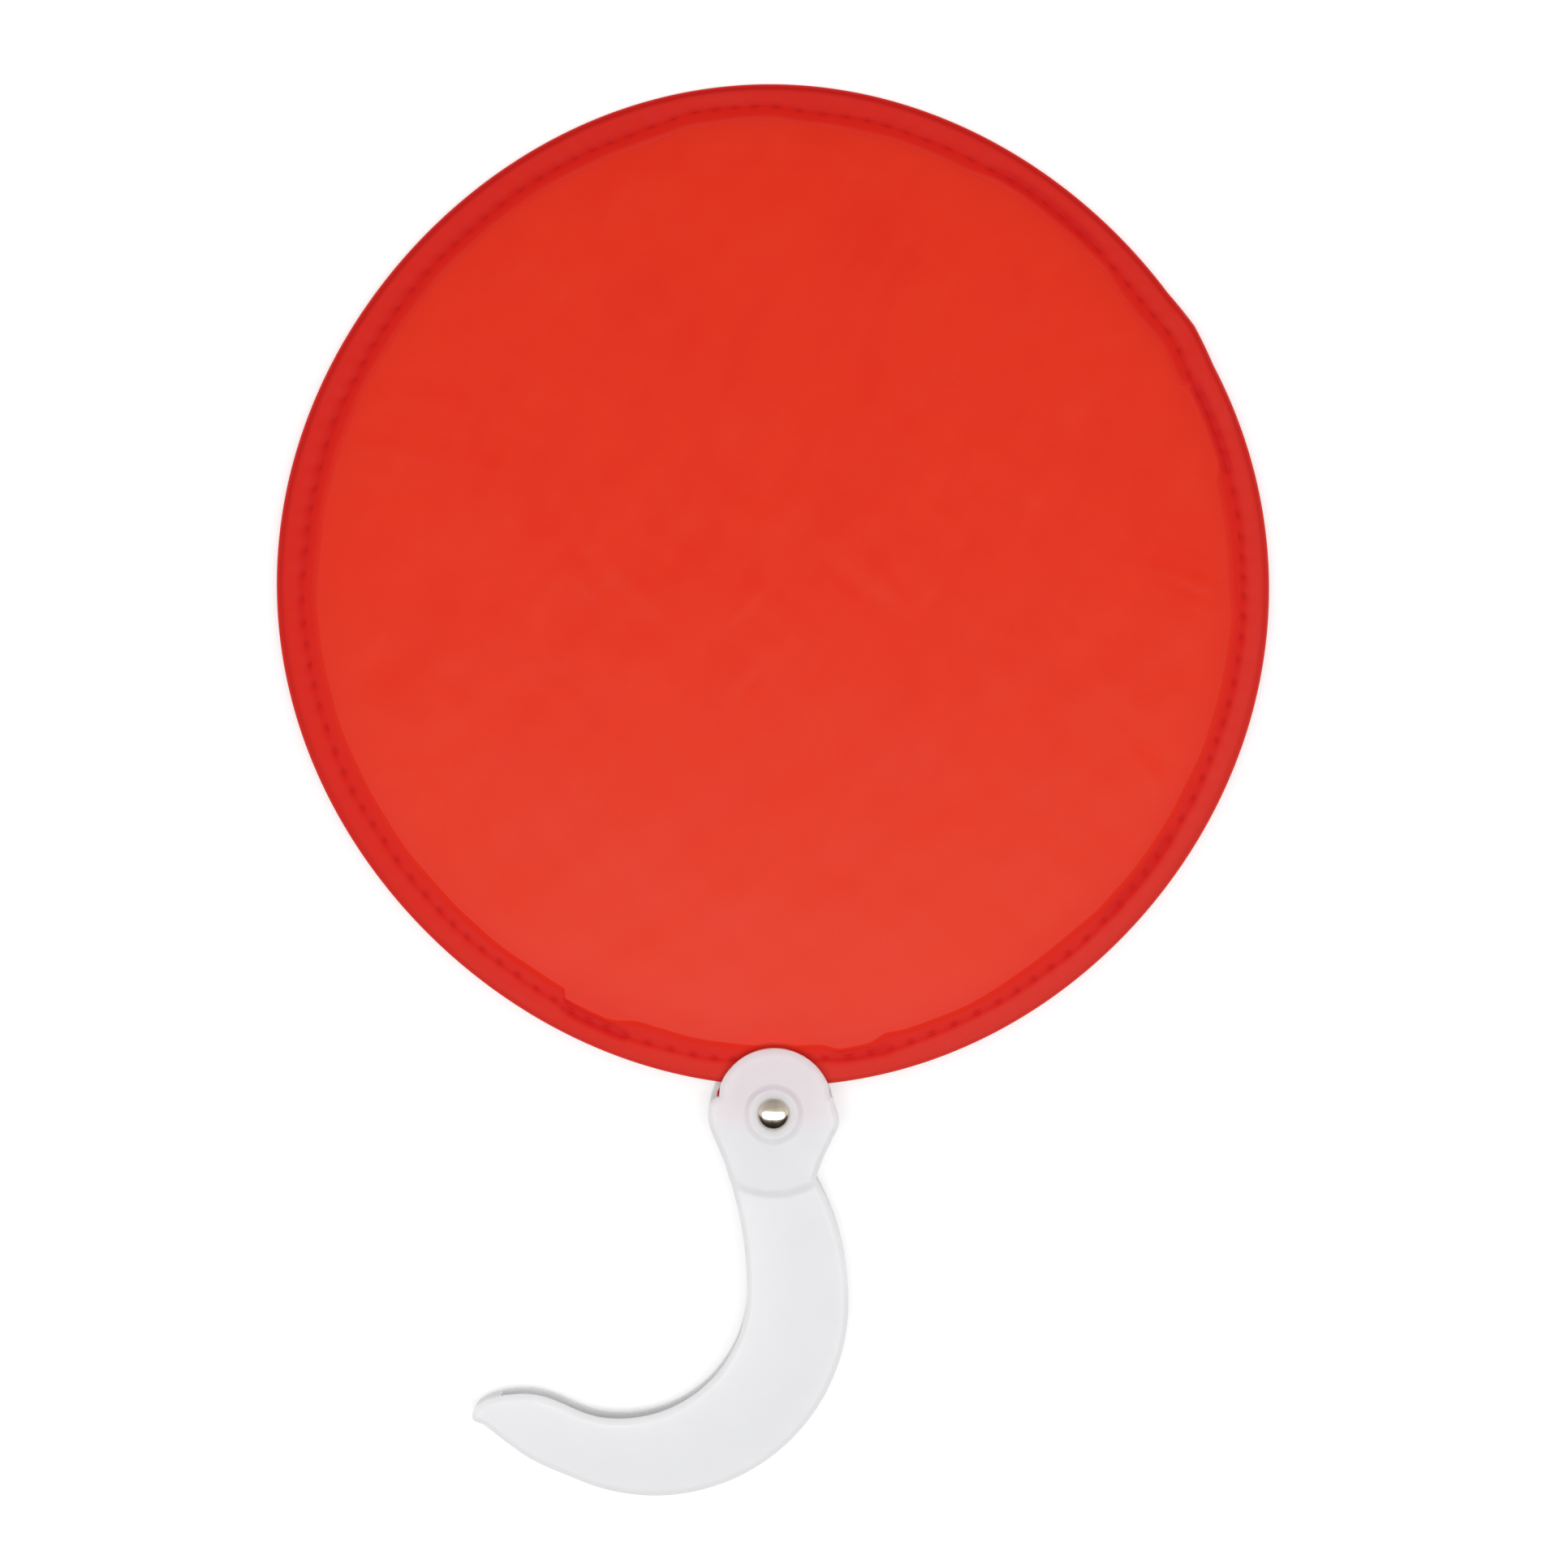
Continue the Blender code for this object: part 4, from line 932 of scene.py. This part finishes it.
def flankLines(leftAngle, inner, outer):
    # the head's two flanks: from the rear cheek's circle down to the neck, the right one over a shoulder
    h = handle
    center, radius = np.array(h["rearCheek"][:2]), h["rearCheek"][2]
    pullOut, pullUp = h["neckPull"]
    leftCorner, rightCorner = inner[0][0], outer[0][0]
    circle = arcLine(center, radius, leftAngle, 180 - h["cornerAngle"])
    along = polar(270 - h["cornerAngle"]) * h["cheekPull"]
    left = joined(circle, bendLine(circle[-1], circle[-1] + along, leftCorner + (-pullOut, pullUp), leftCorner))
    top = center + radius * polar(h["shoulderTop"])
    apex = np.array(h["shoulder"])
    up = np.array([0, h["shoulderPull"]])
    upper = bendLine(top, top - polar(h["shoulderTop"] + 90) * h["shoulderPull"], apex + up, apex)
    right = joined(upper, bendLine(apex, apex - up, rightCorner + (pullOut, pullUp), rightCorner))
    return left, right


def rearHead(inner, outer):
    # left and right sides of the rear cheek in matched stretches: its round top, then its flanks
    x, y, radius = handle["rearCheek"]
    last = handle["shoulderTop"]
    left, right = flankLines(180 - last, inner, outer)
    return [arcLine((x, y), radius, 90, 180 - last), left], [arcLine((x, y), radius, 90, last), right]


def frontHead(inner, outer):
    # the same for the front cheek: a round top over the hem, a notch, and out again to the flank
    x, y, radius = handle["frontCheek"]
    pull = handle["notchPull"]
    sides = []
    flanks = flankLines(180 - handle["flankAngle"], inner, outer)
    for side, reach, flank in zip((-1, 1), handle["notches"], flanks):
        top = arcLine((x, y), radius, 90, 90 - side * (90 - handle["notchAngle"]))
        notch = np.array([reach, handle["notchRise"]])
        out = bendLine(notch, notch + (side * pull, 0), flank[0] + (0, pull), flank[0])
        sides.append([top, np.stack([top[-1], notch]), out, flank])
    return sides


def resampled(line, count):
    # the same line at equal steps of its own length
    lengths = np.concatenate([[0], np.cumsum(np.linalg.norm(np.diff(line, axis=0), axis=1))])
    at = np.linspace(0, lengths[-1], count)
    return np.stack([np.interp(at, lengths, line[:, axis]) for axis in (0, 1)], axis=-1)


def pairedSides(left, right):
    # two sides cut into matched stretches, each resampled so that its points face each other
    sides = [[], []]
    for pair in zip(left, right):
        span = max(np.linalg.norm(np.diff(line, axis=0), axis=1).sum() for line in pair)
        count = max(math.ceil(span / handle["step"]) + 1, handle["leastSteps"])
        for side, line in zip(sides, pair):
            side.append(resampled(line, count))
    return [joined(*side) for side in sides]


def edgeDistance(x, y, outline):
    # distance of each point from a closed line, the least over its straight steps
    start, end = outline, np.roll(outline, -1, axis=0)
    step = end - start
    length = np.maximum((step ** 2).sum(axis=1), 1e-18)
    least = np.full(x.shape, np.inf)
    for row in range(len(x)):
        dx = x[row][:, None] - start[:, 0]
        dy = y[row][:, None] - start[:, 1]
        share = np.clip((dx * step[:, 0] + dy * step[:, 1]) / length, 0, 1)
        least[row] = np.hypot(dx - share * step[:, 0], dy - share * step[:, 1]).min(axis=1)
    return least


def roundDrop(distance):
    # how far a softened edge falls at a distance inside it: drop * (1 - d / edge)^1.5
    return handle["edgeDrop"] * np.clip(1 - distance / handle["edge"], 0, 1) ** 1.5


def shellBody(name, head, topHeight, lowHeight, material):
    # a section across the handle, carried from the head's top to the tip: both faces run from the left
    # side to the right one, closely spaced where the edge is rounded
    h = handle
    inner, outer = handleLines()
    leftHead, rightHead = head(inner, outer)
    left, right = pairedSides([*leftHead, inner[0], inner[1], joined(inner[2], inner[3])],
                              [*rightHead, outer[0], outer[1], joined(outer[2], outer[3])])
    chord = np.linalg.norm(right - left, axis=1)[:, None]
    turn = np.linspace(0, math.pi / 2, h["edgeSteps"] + 1)
    near = np.minimum(h["edge"] * 1.05 * (1 - np.cos(turn)) / np.maximum(chord, 1e-9), 0.4 * turn / turn[-1])
    inside = near[:, -1:] + (1 - 2 * near[:, -1:]) * np.linspace(0, 1, h["plateSteps"] + 1)[1:-1]
    share = np.hstack([near, inside, 1 - near[:, ::-1]])[..., None]
    plan = left[:, None] * (1 - share) + right[:, None] * share
    x, y = plan[..., 0], plan[..., 1]
    distance = edgeDistance(x, y, np.concatenate([left, right[::-1][1:-1]]))
    distance[:, 0] = distance[:, -1] = 0
    top = topHeight(x, y, distance)
    low = lowHeight(x, y, distance)
    loop = [np.hstack([up, down[:, ::-1], up[:, :1]]) for up, down in ((x, x), (y, y), (top, low))]
    points = np.stack([loop[0] + rivetAxis[0], loop[1] + rivetAxis[1], loop[2]], axis=-1)
    return makePiece(name, [gridPart(points)], material, sharp=35)


def wallRegion(inset, outsideOfIt):
    # the region inside or outside a line that follows the handle's outer side at a depth, from the neck to
    # the solid tip
    h = handle
    inner, outer = handleLines()
    line = joined(outer[0], outer[1], outer[2])
    along = np.gradient(line, axis=0)
    along /= np.linalg.norm(along, axis=1)[:, None]
    line = line + np.stack([along[:, 1], -along[:, 0]], axis=-1) * inset
    line[0] += along[0] * (-h["neckDrop"] - line[0, 1]) / along[0, 1]
    tip = inner[3][-1][0]
    end = tip + h["tipSolid"]
    line = line[line[:, 0] > end]
    line = np.concatenate([line, [[end, np.interp(end, line[::-1][:40, 0], line[::-1][:40, 1])]]])
    reach = 3 * h["frontCheek"][2]
    if outsideOfIt:
        farLeft = tip - h["tipSolid"]
        farDown = -h["hookDrop"] - h["hookRadius"] - h["tipSolid"]
        around = [(end, -h["bayDrop"]), (farLeft, -h["bayDrop"]), (farLeft, farDown), (reach, farDown)]
    else:
        around = [(end, reach), (reach, reach)]
    return np.concatenate([line, around, [(reach, -h["neckDrop"])]])


def guide(points, faces):
    mesh = bpy.data.meshes.new("guide")
    mesh.from_pydata(points, [], faces)
    cleaned(mesh, 1e-7)
    return newObject("guide", mesh)


def prismGuide(outline, low, high):
    # an outline raised from one height to another, as a guide for a cut
    count = len(outline)
    ends = [np.column_stack([outline + rivetAxis[:2], np.full(count, z)]) for z in (low, high)]
    index = np.arange(count)
    after = (index + 1) % count
    sides = np.stack([index, after, after + count, index + count], axis=-1).tolist()
    return guide(np.vstack(ends), sides + [index[::-1].tolist(), (index + count).tolist()])


def turnedGuide(profile):
    points, quads, _, _ = turned(profile, 128)
    return guide(points, quads.tolist())


def plugGuide(radius, low, high):
    return turnedGuide([(0, low), (radius, low), (radius, high), (0, high)])


def markSlot(mesh):
    # 1 on the points that the slot's two flat cuts left, 0 elsewhere
    place = np.empty(len(mesh.vertices) * 3)
    mesh.vertices.foreach_get("co", place)
    cut = [np.abs(place[2::3] - level) < handle["slotNear"] for level in (handle["plate"], handle["slotTop"])]
    attribute = mesh.attributes.new("slotFace", "FLOAT", "POINT")
    attribute.data.foreach_set("value", np.any(cut, axis=0).astype(float))


def carve(piece, cuts):
    # applies cuts and joins in order, merges the slivers that they leave, then removes their guides
    for operation, body in cuts:
        modifier = piece.modifiers.new(operation, "BOOLEAN")
        modifier.operation = operation
        modifier.object = body
        modifier.solver = "EXACT"
    mesh = bpy.data.meshes.new_from_object(piece.evaluated_get(bpy.context.evaluated_depsgraph_get()))
    cleaned(mesh, handle["sliver"], outward=False)
    piece.modifiers.clear()
    piece.data = mesh
    smoothed(mesh, handle["sharp"])
    for _, body in cuts:
        bpy.data.objects.remove(body, do_unlink=True)
    markSlot(mesh)
    print(piece.name, "carved,", len(mesh.polygons), "faces")


def makeFrontShell():
    h = handle
    mid = disc["midHeight"]
    recessInner, recessOuter, recessDepth = h["recess"]
    dishRadius, dishDepth = h["dish"]

    def top(x, y, distance):
        # the pad stands over the grip inside a circle about the rivet, and fades into it
        fade = eased((np.hypot(x, y) - h["padRadius"] + h["padFade"] / 2) / h["padFade"])
        return h["pad"] + (h["front"] - h["pad"]) * fade - roundDrop(distance)

    def low(x, y, distance):
        return mid + h["gap"] / 2 + 0 * x

    plastic = makePlasticFinish("frontPlastic", h["blush"][0])
    piece = shellBody("front_shell_smooth", frontHead, top, low, plastic)
    floor = h["pad"] - dishDepth
    shelf = h["pad"] - recessDepth
    above = h["pad"] + h["plate"]
    # the recess rises in a soft slope that crosses the pad's face at a low angle
    share = np.linspace(0, 1, 13)
    slope = np.stack([recessInner + (recessOuter - recessInner) * share,
                      shelf + (recessDepth + h["seatPast"]) * eased(share)], axis=-1)
    step = roundProfile([(h["bore"], floor - h["seatBelow"]), (h["bore"], floor), (h["headSeat"], floor),
                         (dishRadius, shelf), slope[0]], h["seatRound"])
    seat = np.concatenate([[(0, mid), (h["bore"], mid)], step, slope[1:], [(recessOuter, above), (0, above)]])
    channel, rebate = (wallRegion(inset, False) for inset in (h["wall"], h["wall"] - h["lip"] - h["gap"]))
    carve(piece, [("DIFFERENCE", prismGuide(channel, 0, h["slotTop"])),
                  ("DIFFERENCE", prismGuide(rebate, 0, mid + h["lipHeight"] + h["gap"])),
                  ("UNION", plugGuide(h["boss"], mid + h["bossClear"], h["slotTop"] + h["plate"] / 2)),
                  ("DIFFERENCE", turnedGuide(seat))])
    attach(piece, "handle")
    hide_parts("handle_front_shell")


def makeRearShell():
    h = handle
    mid = disc["midHeight"]

    def top(x, y, distance):
        return mid + h["lipHeight"] + 0 * x

    def low(x, y, distance):
        return roundDrop(distance)

    plastic = makePlasticFinish("rearPlastic", h["blush"][1])
    piece = shellBody("rear_shell_smooth", rearHead, top, low, plastic)
    above = 2 * h["front"]
    bore = [(0, -h["plate"]), (h["counterbore"], -h["plate"]), (h["counterbore"], h["counterboreTop"]),
            (h["bore"], h["counterboreTop"]), (h["bore"], mid), (0, mid)]
    channel, seam = wallRegion(h["wall"], False), wallRegion(h["wall"] - h["lip"], True)
    carve(piece, [("DIFFERENCE", prismGuide(channel, h["plate"], above)),
                  ("DIFFERENCE", prismGuide(seam, mid - h["gap"] / 2, above)),
                  ("UNION", plugGuide(h["boss"], h["plate"] / 2, mid - h["bossClear"])),
                  ("DIFFERENCE", turnedGuide(bore))])
    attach(piece, "handle")
    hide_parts("handle_rear_shell")


# The hoop and its sleeve keep the shape of their solids and take a finish here
hoop = {
    "hoop_wire": dict(finish="springSteel", colour=(0.42, 0.43, 0.45), roughness=0.34, grain=2000),
    "hoop_sleeve": dict(finish="sleeveSteel", colour=(0.36, 0.36, 0.38), roughness=0.45, grain=1500),
}


def dressHoop():
    for name, metal in hoop.items():
        materials = bpy.data.objects[name].data.materials
        materials.clear()
        materials.append(makeMetalFinish(metal))


makeCamera()
makeLamp()
makeWorld()
makeFloor()
print("studio ready")
makePanel()
makeHem()
makeStitches()
makeTab()
dressHoop()
print("disc dressed")
makeRivet()
makeWasher()
makeFrontShell()
makeRearShell()
print("handle dressed")

bpy.context.scene.view_settings.view_transform = "Standard"
